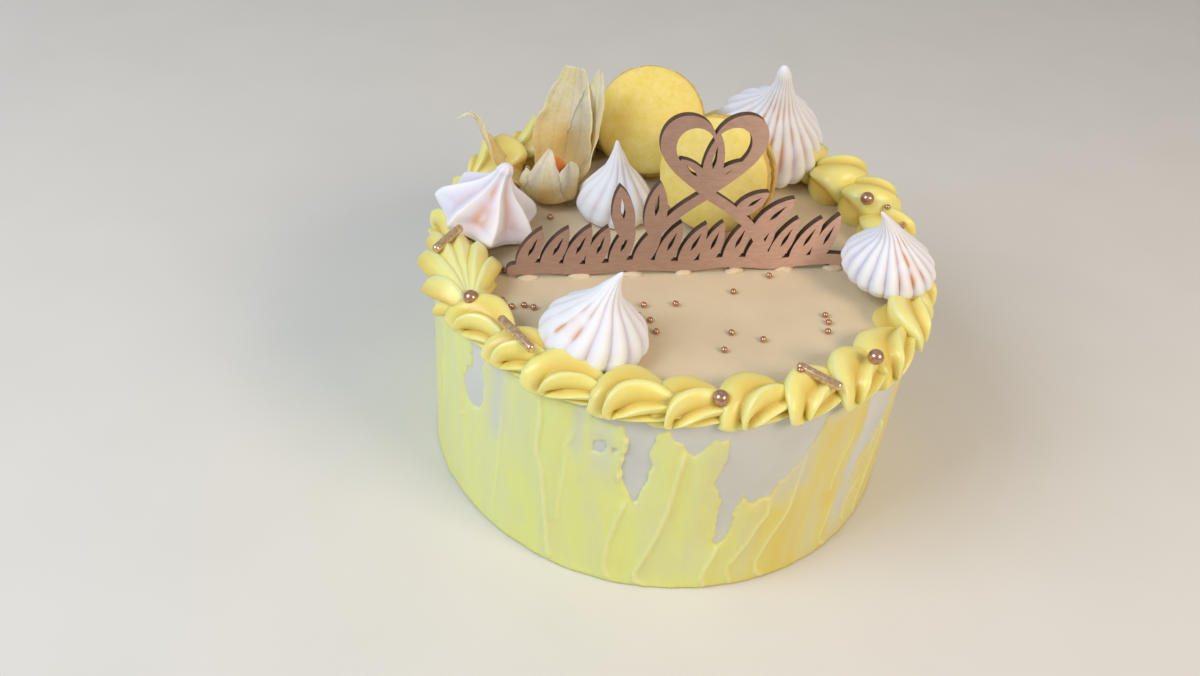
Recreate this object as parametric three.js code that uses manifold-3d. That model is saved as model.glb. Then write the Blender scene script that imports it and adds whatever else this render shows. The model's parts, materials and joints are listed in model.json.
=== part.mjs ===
// Hazelnut torte: a round buttercream cake with a piped border, meringues, macarons, a physalis
// and a laser-cut wooden topper. Millimetres, +Z up, origin at the middle of the flat underside.
import * as THREE from 'three';
import { mergeVertices } from 'three/addons/utils/BufferGeometryUtils.js';
import Module from 'manifold-3d';

const wasm = await Module();
wasm.setup();

// Driving dimensions of the cake
const CAKE_RADIUS = 106.2;
const CAKE_HEIGHT = 95.7;
const CAKE_EDGE = 2.4;
const CAKE_SIDES = 66;
const SIDE_WOBBLE = 0.35;
const GAP = 0.35;
const FINE_DETAIL = 0.1;

// Second coat
const COAT_THICKNESS = 1.25;
const COAT_FOOT = 1.0;
const COAT_TOP = 92.5;
const COAT_SIDES = 106;

// Piped border: shells set head to tail round the top edge
const SHELL_COUNT = 27;
const SHELL_FIRST_DEG = -96.5;
const SHELL_RING = 99.6;
const SHELL_RADIUS = 13.2;
const SHELL_LIFT = 2.4;
const SHELL_TALL = 9;
const SHELL_REACH = 1.58;
const SHELL_LOBES = 7;
const SHELL_ROWS = 6;
const SHELL_GROOVE = 0.48;
const SHELL_TWIST = 0.3;
const SHELL_BUD = 0.55;
const SHELL_BUD_TURN = -0.75;
const SHELL_MIDDLE = 0.32;
const SHELL_HEAD_OUT = 5;
const SHELL_HEAD_DROP = 3.5;
const SHELL_TAIL_OUT = 4;
const SHELL_BACK = 0.92;
const SHELL_BELLY = 0.42;
const SHELL_DETAIL = 1.4;
const BORDER_REACH = 113.1;

// A star of petals on the border's left, from under a large pearl
const STAR_AT = [102.3, -144.4, 100.5];
const PETAL_COLUMNS = 8;
const PETAL_ROWS = 5;

// Pearls and rods of sugar
const PEARL_RADIUS = 3.15;
const TINY_PEARL_RADIUS = 1.35;
const ROD_RADIUS = 1.9;

// Macarons
const MACARON_RADIUS = 26.5;
const MACARON_DOME = 9.2;
const MACARON_FILLING = 4.6;
const MACARON_FOOT = 2.6;
const MACARON_SIDES = 24;

// Physalis
const BERRY_RADIUS = 8.6;
const HUSK_THICKNESS = 0.7;
const HUSK_AT = [-61, 38, 96.6];
const STEM_RADIUS = 3.4;

// Wooden topper
const TOPPER_THICKNESS = 3.0;
const TOPPER_SINK = 2.4;
const TOPPER_AT = [0, -11.4, CAKE_HEIGHT];
const TOPPER_TURN = 12.7;
const TOPPER_LEFT = -75;
const TOPPER_RIGHT = 82;
const RAIL_WIDTH = 5.5;
const RAIL_HEIGHT = 4.5;
const FOOT_WIDTH = 5;
const LEAF_STEP = 10;
const LEAF_LENGTH = 25;
const LEAF_WIDTH = 8.4;
const LEAF_SLANT = 20;
const HEART = { x: 7, y: 57.5, size: 40, band: 0.7 };

const RAD = Math.PI / 180;
const UP = new THREE.Vector3(0, 0, 1);

// A repeatable number from -1 to 1 for piece i and quality k
function uneven(i, k) {
  const s = Math.sin(i * 12.9898 + k * 78.233) * 43758.5453;
  return 2 * (s - Math.floor(s)) - 1;
}

// Solids

function solidOf(geometry, matrix = new THREE.Matrix4()) {
  const bare = geometry.clone();
  bare.deleteAttribute('normal');
  bare.deleteAttribute('uv');
  bare.applyMatrix4(matrix);
  const merged = mergeVertices(bare, 1e-3);
  const index = merged.getIndex().array;
  const kept = [];
  for (let i = 0; i < index.length; i += 3) {
    const [a, b, c] = [index[i], index[i + 1], index[i + 2]];
    if (a !== b && b !== c && c !== a) kept.push(a, b, c);
  }
  const vertProperties = new Float32Array(merged.getAttribute('position').array);
  const mesh = new wasm.Mesh({ numProp: 3, vertProperties, triVerts: new Uint32Array(kept) });
  return new wasm.Manifold(mesh);
}

function geometryOf(solid) {
  const mesh = solid.getMesh();
  const geometry = new THREE.BufferGeometry();
  geometry.setAttribute('position', new THREE.BufferAttribute(mesh.vertProperties, 3));
  geometry.setIndex(new THREE.BufferAttribute(mesh.triVerts, 1));
  geometry.computeVertexNormals();
  return geometry;
}

function largestBody(solid) {
  const bodies = solid.decompose();
  bodies.sort((a, b) => b.volume() - a.volume());
  return bodies[0];
}

function joined(solids) {
  return solids.reduce((whole, next) => whole.add(next));
}

function cutBy(solid, cutters) {
  return cutters.reduce((whole, next) => whole.subtract(next), solid);
}

// The same solid with edges shorter than a detail size folded away
function eased(solid, detail) {
  return solid.asOriginal().simplify(detail);
}

// Moves each vertex of a geometry to where the rule sends it
function reshaped(geometry, rule) {
  const position = geometry.getAttribute('position');
  const point = new THREE.Vector3();
  for (let i = 0; i < position.count; i += 1) {
    point.fromBufferAttribute(position, i);
    const moved = rule(point);
    position.setXYZ(i, moved.x, moved.y, moved.z);
  }
  return geometry;
}

// A body turned about the upright axis from a half outline
function turned(outline, sides) {
  const profile = outline.map(([x, y]) => new THREE.Vector2(x, y));
  return new THREE.LatheGeometry(profile, sides).rotateX(Math.PI / 2);
}

// A frame standing at a point, leaning by an angle towards a compass direction
function standing([x, y, z], leanDeg = 0, towardsDeg = 0, spinDeg = 0) {
  const towards = towardsDeg * RAD;
  const axis = new THREE.Vector3(-Math.sin(towards), Math.cos(towards), 0);
  const turn = new THREE.Quaternion().setFromAxisAngle(axis, leanDeg * RAD);
  turn.multiply(new THREE.Quaternion().setFromAxisAngle(UP, spinDeg * RAD));
  return new THREE.Matrix4().compose(
    new THREE.Vector3(x, y, z),
    turn,
    new THREE.Vector3(1, 1, 1),
  );
}

function placeOf(sizes) {
  return standing(sizes.at, sizes.lean, sizes.towards, sizes.spin);
}

function polar(distance, angleDeg, z) {
  return [distance * Math.cos(angleDeg * RAD), distance * Math.sin(angleDeg * RAD), z];
}

function ballAt(radius, at, around, rings) {
  return solidOf(new THREE.SphereGeometry(radius, around, rings), standing(at));
}

// Cake body

function sideWobble(angle) {
  return SIDE_WOBBLE * (Math.sin(3 * angle + 0.7) + 0.6 * Math.sin(7 * angle + 2.1));
}

function cakeDrum(radius, height, edge, sides) {
  const drum = turned([
    [0, 0],
    [radius, 0],
    [radius, height - edge],
    [radius - edge * 0.3, height - edge * 0.3],
    [radius - edge, height],
    [0, height],
  ], sides);
  return reshaped(drum, (p) => {
    const grow = 1 + sideWobble(Math.atan2(p.y, p.x)) / radius;
    return new THREE.Vector3(p.x * grow, p.y * grow, p.z);
  });
}

// Tiny pearls lie on the top, given by distance and compass angle from the middle
const TINY_PEARLS = [
  [85.7, -148], [86.2, -145], [84, -144.2], [79.1, -143.2], [76.5, -140.9],
  [41.9, -110], [49.4, -109.4], [50.5, -103], [57, -98.8], [36.3, -91.6],
  [78.1, -161.9], [40.8, -12.9], [33.5, -45.1], [56.6, -67.2], [64.8, -57.5],
  [66.5, -73.7], [70.8, -28.8], [74, -31.7], [76.7, -36], [62.6, 161],
  [27.4, 155.2], [22.6, 54.9],
];

function tinyPearls() {
  const z = CAKE_HEIGHT + TINY_PEARL_RADIUS * 0.8;
  return TINY_PEARLS.map(([r, a]) => ballAt(TINY_PEARL_RADIUS, polar(r, a, z), 5, 3));
}

// Second coat: a thin ragged layer smeared up the side

// Bare tongues in the coat: compass angle, half width in degrees, lowest bare height
const BARE_TONGUES = [
  [-139.5, 4.5, 58], [-97.5, 5.5, 49], [-77, 4.2, 27], [-66, 10, 50], [-33, 11, 58],
  [-8, 8, 66], [18, 12, 52], [47, 5, 34], [71, 10, 57], [104, 6, 45], [131, 12, 63],
  [168, 7, 52], [-168, 5, 70],
];

function coatTop(angle) {
  let top = COAT_TOP - 2 + 2 * Math.sin(5 * angle + 1) * Math.sin(3 * angle);
  for (const [middle, half, low] of BARE_TONGUES) {
    const away = angle - middle * RAD;
    const u = Math.abs(Math.atan2(Math.sin(away), Math.cos(away))) / (half * RAD);
    if (u < 1) top = Math.min(top, low + (COAT_TOP - low) * u ** 1.6);
  }
  return top;
}

// The outline is of a unit height, drawn out to the coat's own height at each angle
function yellowCoat() {
  const inner = CAKE_RADIUS + GAP;
  const outer = inner + COAT_THICKNESS;
  const ring = turned([
    [inner, 0], [outer, 0], [outer - 0.1, 0.75], [inner + 0.4, 1], [inner, 1], [inner, 0],
  ], COAT_SIDES);
  return reshaped(ring, (p) => {
    const angle = Math.atan2(p.y, p.x);
    const grow = 1 + sideWobble(angle) / CAKE_RADIUS;
    const z = COAT_FOOT + p.z * (coatTop(angle) - COAT_FOOT);
    return new THREE.Vector3(p.x * grow, p.y * grow, z);
  });
}

// Piped border

// Across one flap of a shell: share of the flap's angle and how far it stands out of the groove.
// A flap rises slowly from the outside and drops steeply towards the middle of the cake.
const FLAP = [[0, 0], [0.8, 1]];

// Squeezes distances from the axis so that no cream hangs out further than the reach
function insideReach(out) {
  const soft = 2.8;
  const past = Math.max(out - BORDER_REACH + soft, 0);
  return Math.min(out, BORDER_REACH - soft) + soft * Math.tanh(past / soft);
}

// A piped shell: flaps that start at a bud low on the outside, wrap round the head in arcs and
// run together in a tail. To move one pole of the ball to the bud, the ball is laid flat from
// the tail's pole, its points are shifted, and it is closed again.
function pipedShell(shell) {
  const columns = SHELL_LOBES * FLAP.length;
  const ball = new THREE.SphereGeometry(1, columns, SHELL_ROWS);
  return reshaped(ball, (p) => {
    const t = Math.acos(THREE.MathUtils.clamp(p.y, -1, 1)) / Math.PI;
    const round = Math.atan2(p.z, -p.x) / (2 * Math.PI) + 1;
    const column = Math.round(round * columns);
    const [share, rise] = FLAP[column % FLAP.length];
    const flap = Math.floor(column / FLAP.length) + share;
    const swing = (flap * 2 * Math.PI) / SHELL_LOBES + shell.phase + shell.twist * t;
    const far = Math.tan((t * Math.PI) / 2);
    const x = far * Math.cos(swing) + shell.bud * Math.cos(SHELL_BUD_TURN);
    const y = far * Math.sin(swing) + shell.bud * Math.sin(SHELL_BUD_TURN);
    const turn = Math.atan2(y, x);
    const course = (Math.atan(Math.hypot(x, y)) * 2) / Math.PI;
    const full = t > 0 ? 1 - shell.groove * (1 - 0.25 * t) * (1 - rise) : 1;
    const r = shell.radius * Math.sin(Math.PI * course ** 0.6) ** 0.55 * full;
    const along = Math.max(course, SHELL_MIDDLE - (SHELL_MIDDLE - course) * full);
    const head = Math.max(1 - 2 * along, 0) ** 2;
    const tail = Math.max(2 * along - 1, 0) ** 2;
    const outward = shell.fan * (SHELL_HEAD_OUT * head + SHELL_TAIL_OUT * tail);
    const out = insideReach(shell.ring + r * Math.cos(turn) + outward);
    const high = r * Math.sin(turn) * (Math.sin(turn) > 0 ? SHELL_BACK : shell.belly);
    const drop = shell.fan * SHELL_HEAD_DROP * head;
    const z = CAKE_HEIGHT + shell.lift * (1 - 0.5 * along) - drop + high;
    return new THREE.Vector3(...polar(out, shell.headDeg + shell.spanDeg * along, z));
  });
}

function easedStep(low, high, value) {
  return THREE.MathUtils.smoothstep(value, low, high);
}

// Most shells are alike but uneven, with taller ones along the back. Where the star lies two
// places stay free, and one low core fills it.
const STAR_FIRST = 21;
const STAR_LAST = 22;
const STAR_CORE = { headDeg: -180, spanDeg: 36, ring: 98.5, radius: 10.5, lift: 0, groove: 0.2 };

function shellSizes(i) {
  const pitch = 360 / SHELL_COUNT;
  const place = pitch * i;
  const tall = easedStep(98, 122, place) * (1 - easedStep(240, 256, place));
  const radius = SHELL_RADIUS * (1 + 0.06 * uneven(i, 3) + 0.22 * tall);
  return {
    headDeg: SHELL_FIRST_DEG + place + 1.2 * uneven(i, 1) - 3 * tall,
    spanDeg: pitch * (SHELL_REACH - 0.22 * tall),
    ring: SHELL_RING + uneven(i, 2),
    radius,
    lift: SHELL_LIFT + 0.8 * uneven(i, 4) + SHELL_TALL * tall,
    belly: SHELL_BELLY + (SHELL_TALL * tall) / radius,
    groove: SHELL_GROOVE - 0.14 * tall,
    twist: SHELL_TWIST * (1 + 0.4 * uneven(i, 5)),
    phase: -0.2 + 0.2 * uneven(i, 6),
    bud: SHELL_BUD,
    fan: 1,
  };
}

// The star's petals: tip as distance, compass angle and height, then width and arch
const STAR_PETALS = [
  { tip: [112, -152.5, 93.5], width: 9, arch: 0.5 },
  { tip: [112, -159, 97], width: 13, arch: 3 },
  { tip: [111.5, -168.5, 98.5], width: 13, arch: 3.5 },
  { tip: [108, -175, 100.5], width: 12, arch: 4 },
  { tip: [99, -175, 102], width: 11, arch: 4 },
  { tip: [88.5, -171, 100.5], width: 10, arch: 5.5 },
  { tip: [81.5, -165.5, 97], width: 10, arch: 5.5 },
  { tip: [86, -156, 96.8], width: 8.5, arch: 4 },
];

// A petal: a stretched ball that widens towards a blunt tip, with a crest along its top
function starPetal({ tip, width, arch }) {
  const start = new THREE.Vector3(...polar(...STAR_AT));
  const way = new THREE.Vector3(...polar(...tip)).sub(start);
  const side = way.clone().cross(UP).normalize();
  const ball = new THREE.SphereGeometry(1, PETAL_COLUMNS, PETAL_ROWS);
  return reshaped(ball, (p) => {
    const t = Math.acos(THREE.MathUtils.clamp(p.y, -1, 1)) / Math.PI;
    const turn = Math.atan2(p.z, -p.x);
    const taper = t > 0 ? 1.9 * (t + 0.05) ** 0.65 * Math.max(1 - t, 0) ** 0.36 : 0;
    const tent = 0.75 * (1 - Math.abs(Math.cos(turn))) + 0.25 * Math.sin(turn);
    const rise = Math.sin(turn) > 0 ? 0.48 * tent : 0.28 * Math.sin(turn);
    const point = start.clone().addScaledVector(way, t);
    point.addScaledVector(side, (width / 2) * taper * Math.cos(turn));
    point.z += width * taper * rise + arch * 4 * t * (1 - t);
    return point;
  });
}

function border(trims, cutters) {
  const shells = [];
  for (let i = 0; i < SHELL_COUNT; i += 1) {
    const free = i >= STAR_FIRST && i <= STAR_LAST;
    if (!free) shells.push(solidOf(pipedShell(shellSizes(i))));
  }
  const core = { ...shellSizes(STAR_FIRST), ...STAR_CORE, bud: 0, fan: 0 };
  shells.push(solidOf(pipedShell(core)));
  for (const petal of STAR_PETALS) shells.push(solidOf(starPetal(petal)));
  const room = cakeDrum(CAKE_RADIUS + COAT_THICKNESS + 3 * GAP, CAKE_HEIGHT + 2 * GAP, 0.4, 48);
  const rooms = [solidOf(room), ...cutters];
  const ring = eased(cutBy(joined(shells), rooms), SHELL_DETAIL);
  return largestBody(eased(cutBy(joined([ring, ...trims]), rooms), FINE_DETAIL));
}

// Large pearls on the border: distance and compass angle from the middle, height of the centre
const LARGE_PEARLS = [
  [101.4, -145.7, 105.4], [102.4, -81.4, 104], [105.1, -44.1, 108], [96.2, 26, 109.7],
];

// Sugar rods: the two ends as distance, compass angle and height
const RODS = [
  [[107.9, -162, 109.6], [95.6, -170.6, 110.8]],
  [[100.4, -134.5, 108], [105, -121.9, 108]],
  [[93.8, -61.9, 108], [109.6, -56.3, 106]],
  [[108.8, 17.6, 106], [98.3, 9.5, 105.5]],
];

function rodBetween(ends) {
  const [a, b] = ends.map((end) => new THREE.Vector3(...polar(...end)));
  const straight = a.distanceTo(b) - 2 * ROD_RADIUS;
  const direction = b.clone().sub(a).normalize();
  const turn = new THREE.Quaternion().setFromUnitVectors(new THREE.Vector3(0, 1, 0), direction);
  const place = new THREE.Matrix4().compose(
    a.clone().add(b).multiplyScalar(0.5),
    turn,
    new THREE.Vector3(1, 1, 1),
  );
  return solidOf(new THREE.CapsuleGeometry(ROD_RADIUS, straight, 2, 8), place);
}

// Meringues

// Half outline of a piped kiss: share of the radius at each share of the height
const KISS_OUTLINE = [
  [0, 0], [0.8, 0], [0.97, 0.07], [1, 0.16], [0.9, 0.3], [0.64, 0.46], [0.34, 0.63],
  [0.13, 0.85], [0, 1],
];

// Each meringue: foot of its axis, lean in degrees and the way it leans, then its own sizes.
// A sharp one has crests like blades, the others round lobes between narrow grooves.
const MERINGUES = {
  meringue_front_left: {
    at: [-34, -69, 97.4], lean: 4, towards: 0, spin: 0, radius: 22, height: 36.5,
    lobes: 14, groove: 0.14, twist: 0.5, tip: 6.5, tipTo: 0, sharp: false,
  },
  meringue_left: {
    at: [-87, 5, 103], lean: 16, towards: -10, spin: 12, radius: 24, height: 30,
    lobes: 7, groove: 0.36, twist: 0.15, tip: 2, tipTo: 20, sharp: true,
  },
  meringue_back_left: {
    at: [-30, 32, 96.2], lean: 0, towards: 0, spin: 5, radius: 18.4, height: 37,
    lobes: 13, groove: 0.16, twist: 0.35, tip: 2, tipTo: 180, sharp: false,
  },
  meringue_right: {
    at: [89, -9, 104], lean: 6, towards: -60, spin: 0, radius: 20.5, height: 33,
    lobes: 18, groove: 0.14, twist: -0.3, tip: 12, tipTo: 190, sharp: false,
  },
  meringue_back_right: {
    at: [41, 86.3, 109.9], lean: 27, towards: -82, spin: 0, radius: 30, height: 54,
    lobes: 19, groove: 0.15, twist: 0.2, tip: 6, tipTo: 130, sharp: false, waist: 0.2,
  },
};

function meringue(sizes) {
  const { radius, height, lobes, groove, twist, tip, tipTo, sharp, waist = 0 } = sizes;
  const kiss = turned(KISS_OUTLINE, lobes * (sharp ? 4 : 2));
  return reshaped(kiss, (p) => {
    const turn = Math.atan2(p.y, p.x);
    const phase = (lobes / 2) * (turn + Math.PI / 2);
    const crest = sharp ? 1 - Math.abs(Math.sin(phase)) : Math.abs(Math.cos(phase)) ** 0.7;
    const fade = Math.min(1, 3 * p.z + 0.35) * (1 - 0.5 * p.z);
    const slim = 1 - waist * 4 * p.z * (1 - p.z);
    const r = radius * Math.hypot(p.x, p.y) * slim * (1 - groove * fade * (1 - crest));
    const bend = tip * p.z ** 3;
    return new THREE.Vector3(
      r * Math.cos(turn + twist * p.z) + bend * Math.cos(tipTo * RAD),
      r * Math.sin(turn + twist * p.z) + bend * Math.sin(tipTo * RAD),
      p.z * height,
    );
  });
}

// The room a meringue takes in the border: the foot of its outline with no grooves
function meringueRoom(sizes) {
  const wide = sizes.radius + 2 * GAP;
  const room = turned([
    [0, -GAP], [wide * 0.8, -GAP], [wide * 0.98, 0.06 * sizes.height],
    [wide * 1.01, 0.17 * sizes.height], [wide * 0.93, 0.31 * sizes.height],
    [wide * 0.4, 0.66 * sizes.height], [0, 0.8 * sizes.height],
  ], 26);
  return solidOf(room, placeOf(sizes));
}

// Macarons: two almond shells with a ruffled foot and a nut filling between

// Middle of each macaron, lean of its axis from upright and the way its face looks
const MACARONS = {
  macaron_back: { at: [-17, 76, 120.6], lean: 55, towards: -96 },
  macaron_front: { at: [14.5, 29.5, 122.3], lean: 72, towards: -117 },
};

function macaronShell() {
  const r = MACARON_RADIUS;
  const base = MACARON_FILLING / 2 + GAP;
  const shell = turned([
    [0, base],
    [r - 1.2, base],
    [r - 0.2, base + 0.9],
    [r - 0.6, base + MACARON_FOOT],
    [r - 1.6, base + MACARON_FOOT + 1.6],
    [r * 0.84, base + MACARON_DOME * 0.74],
    [r * 0.5, base + MACARON_DOME * 0.95],
    [0, base + MACARON_DOME],
  ], MACARON_SIDES);
  return reshaped(shell, (p) => {
    const ruffle = p.z < base + MACARON_FOOT ? 0.4 * Math.sin(11 * Math.atan2(p.y, p.x)) : 0;
    const grow = 1 + ruffle / r;
    return new THREE.Vector3(p.x * grow, p.y * grow, p.z);
  });
}

function macaronFilling() {
  const half = MACARON_FILLING / 2;
  const r = MACARON_RADIUS - 1.8;
  return turned([
    [0, -half], [r - 0.8, -half], [r, -half * 0.4], [r, half * 0.4], [r - 0.8, half], [0, half],
  ], MACARON_SIDES);
}

function macaronRoom(sizes) {
  const half = MACARON_FILLING / 2 + MACARON_DOME + 2 * GAP;
  const r = MACARON_RADIUS + 3 * GAP;
  const room = turned([
    [0, -half], [r * 0.6, -half + 0.3], [r * 0.9, -half * 0.8], [r, -half * 0.5],
    [r, half * 0.5], [r * 0.9, half * 0.8], [r * 0.6, half - 0.3], [0, half],
  ], MACARON_SIDES);
  return solidOf(room, placeOf(sizes));
}

// Physalis: an orange berry in a papery husk whose leaves stand open

// Husk leaves: the way each looks, the radius it wraps round, then along its length the
// distance from the husk's axis, the height and the width
const HUSK_LEAVES = [
  {
    facing: -103,
    wrap: 13,
    path: [[2.4, 0, 6], [12, 4, 27], [13.8, 10, 27], [12.6, 16, 18], [8.5, 22, 9], [3, 27, 1]],
  },
  {
    facing: -32,
    wrap: 13,
    path: [[2.4, 0, 6], [11.4, 4, 24], [13, 10, 24], [12.6, 15, 19], [11.5, 19, 12], [10, 22, 3]],
  },
  {
    facing: -166,
    wrap: 13,
    path: [[2.4, 0, 6], [11.4, 4, 24], [13, 9, 24], [12.6, 13, 19], [11.5, 17, 12], [10, 20, 3]],
  },
  {
    facing: 74,
    wrap: 26,
    path: [[2.4, 0, 6], [14, 9, 26], [19, 23, 33], [22, 35, 28], [24, 46, 19], [25.5, 55, 8]],
  },
  {
    facing: 47,
    wrap: 26,
    path: [[2.4, 0, 6], [15, 9, 18], [20, 20, 22], [23, 32, 19], [25, 44, 13], [27, 57, 2]],
  },
  {
    facing: 180,
    wrap: 16,
    path: [
      [2.4, 0, 6], [16, 8, 12], [26.4, 18.4, 13], [29.2, 26, 9.5],
      [31.6, 31, 6], [34, 36.5, 5], [38.5, 39.5, 4], [44, 35.5, 1],
    ],
  },
];
const HUSK_COLUMNS = 3;
const HUSK_ROWS = 6;

// A thin closed sheet from a flat grid: the grid, its copy a thickness away, and a rim between
function thickened(grid, columns, rows, thickness) {
  grid.computeVertexNormals();
  const position = grid.getAttribute('position');
  const normal = grid.getAttribute('normal');
  const count = position.count;
  const points = [];
  for (const side of [0.5, -0.5]) {
    for (let i = 0; i < count; i += 1) {
      const p = new THREE.Vector3().fromBufferAttribute(position, i);
      const n = new THREE.Vector3().fromBufferAttribute(normal, i);
      points.push(...p.addScaledVector(n, side * thickness).toArray());
    }
  }
  const faces = [];
  const index = grid.getIndex().array;
  for (let i = 0; i < index.length; i += 3) {
    const [a, b, c] = [index[i], index[i + 1], index[i + 2]];
    faces.push(a, b, c, count + a, count + c, count + b);
  }
  const rim = [];
  for (let x = 0; x < columns; x += 1) rim.push(x);
  for (let y = 0; y < rows; y += 1) rim.push(y * (columns + 1) + columns);
  for (let x = columns; x > 0; x -= 1) rim.push(rows * (columns + 1) + x);
  for (let y = rows; y > 0; y -= 1) rim.push(y * (columns + 1));
  for (let k = 0; k < rim.length; k += 1) {
    const a = rim[k];
    const b = rim[(k + 1) % rim.length];
    faces.push(a, b, count + b, a, count + b, count + a);
  }
  const closed = new THREE.BufferGeometry();
  closed.setAttribute('position', new THREE.Float32BufferAttribute(points, 3));
  closed.setIndex(faces);
  return closed;
}

function huskLeaf(leaf, k, thickness = HUSK_THICKNESS) {
  const course = new THREE.CatmullRomCurve3(leaf.path.map((p) => new THREE.Vector3(...p)));
  const grid = new THREE.PlaneGeometry(2, 1, HUSK_COLUMNS, HUSK_ROWS);
  reshaped(grid, (p) => {
    const along = p.y + 0.5;
    const [distance, height, width] = course.getPoint(along).toArray();
    const tent = (1.3 - 2.6 * Math.abs(p.x)) * (0.6 + 0.4 * Math.cos(p.x * Math.PI * 2));
    const fold = tent * Math.sin(along * Math.PI);
    const wave = 0.7 * Math.sin(along * 9 + k) * p.x;
    const middle = polar(distance - leaf.wrap, leaf.facing, height);
    const angle = leaf.facing + (p.x * width) / 2 / leaf.wrap / RAD;
    const edge = polar(leaf.wrap + fold + wave, angle, 0);
    return new THREE.Vector3(middle[0] + edge[0], middle[1] + edge[1], height);
  });
  return thickened(grid, HUSK_COLUMNS, HUSK_ROWS, thickness);
}

// The room that the last leaf, which lies over the border, takes in it
function huskRoom() {
  const k = HUSK_LEAVES.length - 1;
  const { facing, wrap, path } = HUSK_LEAVES[k];
  const wider = path.map(([distance, height, width]) => [distance, height, width + 5 * GAP]);
  const leaf = huskLeaf({ facing, wrap, path: wider }, k, HUSK_THICKNESS + 4.5 * GAP);
  return solidOf(leaf, standing(HUSK_AT));
}

function physalisHusk(cutters) {
  const place = standing(HUSK_AT);
  const leaves = HUSK_LEAVES.map((leaf, k) => solidOf(huskLeaf(leaf, k), place));
  const [x, y, z] = HUSK_AT;
  const stem = ballAt(STEM_RADIUS, [x, y, z + STEM_RADIUS], 8, 5);
  return largestBody(eased(cutBy(joined([stem, ...leaves]), cutters), FINE_DETAIL));
}

// Topper: a garland of slanting leaves with a heart above its middle, cut from one thin board

function board(shape, curveSegments = 3, spare = 0) {
  const depth = TOPPER_THICKNESS + spare;
  const plate = new THREE.ExtrudeGeometry(shape, { depth, bevelEnabled: false, curveSegments });
  plate.translate(0, 0, -depth / 2);
  plate.rotateX(Math.PI / 2);
  return solidOf(plate);
}

// A strip of even width with round ends along a curve
function strip(points, width, steps) {
  const curve = new THREE.SplineCurve(points.map(([x, y]) => new THREE.Vector2(x, y)));
  const left = [];
  const right = [];
  for (let i = 0; i <= steps; i += 1) {
    const p = curve.getPoint(i / steps);
    const way = curve.getTangent(i / steps).multiplyScalar(width / 2);
    left.push(new THREE.Vector2(p.x - way.y, p.y + way.x));
    right.push(new THREE.Vector2(p.x + way.y, p.y - way.x));
  }
  const ends = [0, 1].map((t) => {
    const p = curve.getPoint(t);
    return board(new THREE.Shape().absarc(p.x, p.y, width / 2, 0, 2 * Math.PI), 4);
  });
  return joined([board(new THREE.Shape([...right, ...left.reverse()])), ...ends]);
}

// A pointed leaf from its foot, with a slit along its middle
function leafCut(x, y, length, width, slantDeg) {
  const along = new THREE.Vector2(Math.sin(slantDeg * RAD), Math.cos(slantDeg * RAD));
  const at = (u, v) => [
    x + along.x * u * length + along.y * v * width,
    y + along.y * u * length - along.x * v * width,
  ];
  const blade = (wide, from, to) => {
    const shape = new THREE.Shape();
    shape.moveTo(...at(from, 0));
    shape.bezierCurveTo(...at(from + 0.15, wide), ...at(to - 0.3, wide), ...at(to, 0));
    shape.bezierCurveTo(...at(to - 0.3, -wide), ...at(from + 0.15, -wide), ...at(from, 0));
    return shape;
  };
  const outline = blade(0.68, 0, 1);
  outline.holes.push(blade(0.13, 0.4, 0.8));
  return board(outline);
}

// Right half of a heart of unit size from its notch to its foot, as curve points
const HEART_HALF = [
  [[0.1, 0.52], [0.48, 0.55], [0.55, 0.26]],
  [[0.62, -0.05], [0.25, -0.28], [0, -0.5]],
];

function heartOutline(x, y, size) {
  const shape = new THREE.Shape();
  const at = (side, [u, v]) => [x + side * u * size, y + v * size];
  const [upper, lower] = HEART_HALF;
  shape.moveTo(...at(1, [0, 0.25]));
  shape.bezierCurveTo(...upper.flatMap((p) => at(1, p)));
  shape.bezierCurveTo(...lower.flatMap((p) => at(1, p)));
  shape.bezierCurveTo(...at(-1, lower[1]), ...at(-1, lower[0]), ...at(-1, upper[2]));
  shape.bezierCurveTo(...at(-1, upper[1]), ...at(-1, upper[0]), ...at(-1, [0, 0.25]));
  return shape;
}

function heartRing() {
  const { x, y, size, band } = HEART;
  const hole = board(heartOutline(x, y, size * band), 6, 2);
  return board(heartOutline(x, y, size), 6).subtract(hole);
}

const TOPPER_FEET = [-66, -44, -21, 2, 25, 48, 71];

function footBlock(s, grow) {
  const height = TOPPER_SINK + RAIL_HEIGHT + grow;
  const width = FOOT_WIDTH + 2 * grow;
  const block = new THREE.BoxGeometry(width, TOPPER_THICKNESS + 2 * grow, height);
  block.translate(s, 0, RAIL_HEIGHT - height / 2);
  return solidOf(block);
}

function railPath() {
  const steps = 12;
  const length = TOPPER_RIGHT - TOPPER_LEFT - RAIL_WIDTH;
  const path = [];
  for (let k = 0; k <= steps; k += 1) {
    const x = TOPPER_LEFT + RAIL_WIDTH / 2 + (k * length) / steps;
    path.push([x, RAIL_HEIGHT + 0.9 * Math.sin(k * 1.9)]);
  }
  return path;
}

// Leaves above the band: foot across and up, length, width and slant
const UPPER_LEAVES = [
  [-25, 18, 27, 9.5, -10], [-14, 19, 27, 9.5, 2],
  [30, 19, 24, 9.5, 42], [20, 29, 18, 8, 52],
  [HEART.x, 41, 27, 8.5, 4], [HEART.x, 43, 19, 7.5, -44], [HEART.x, 43, 19, 7.5, 50],
];

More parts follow.
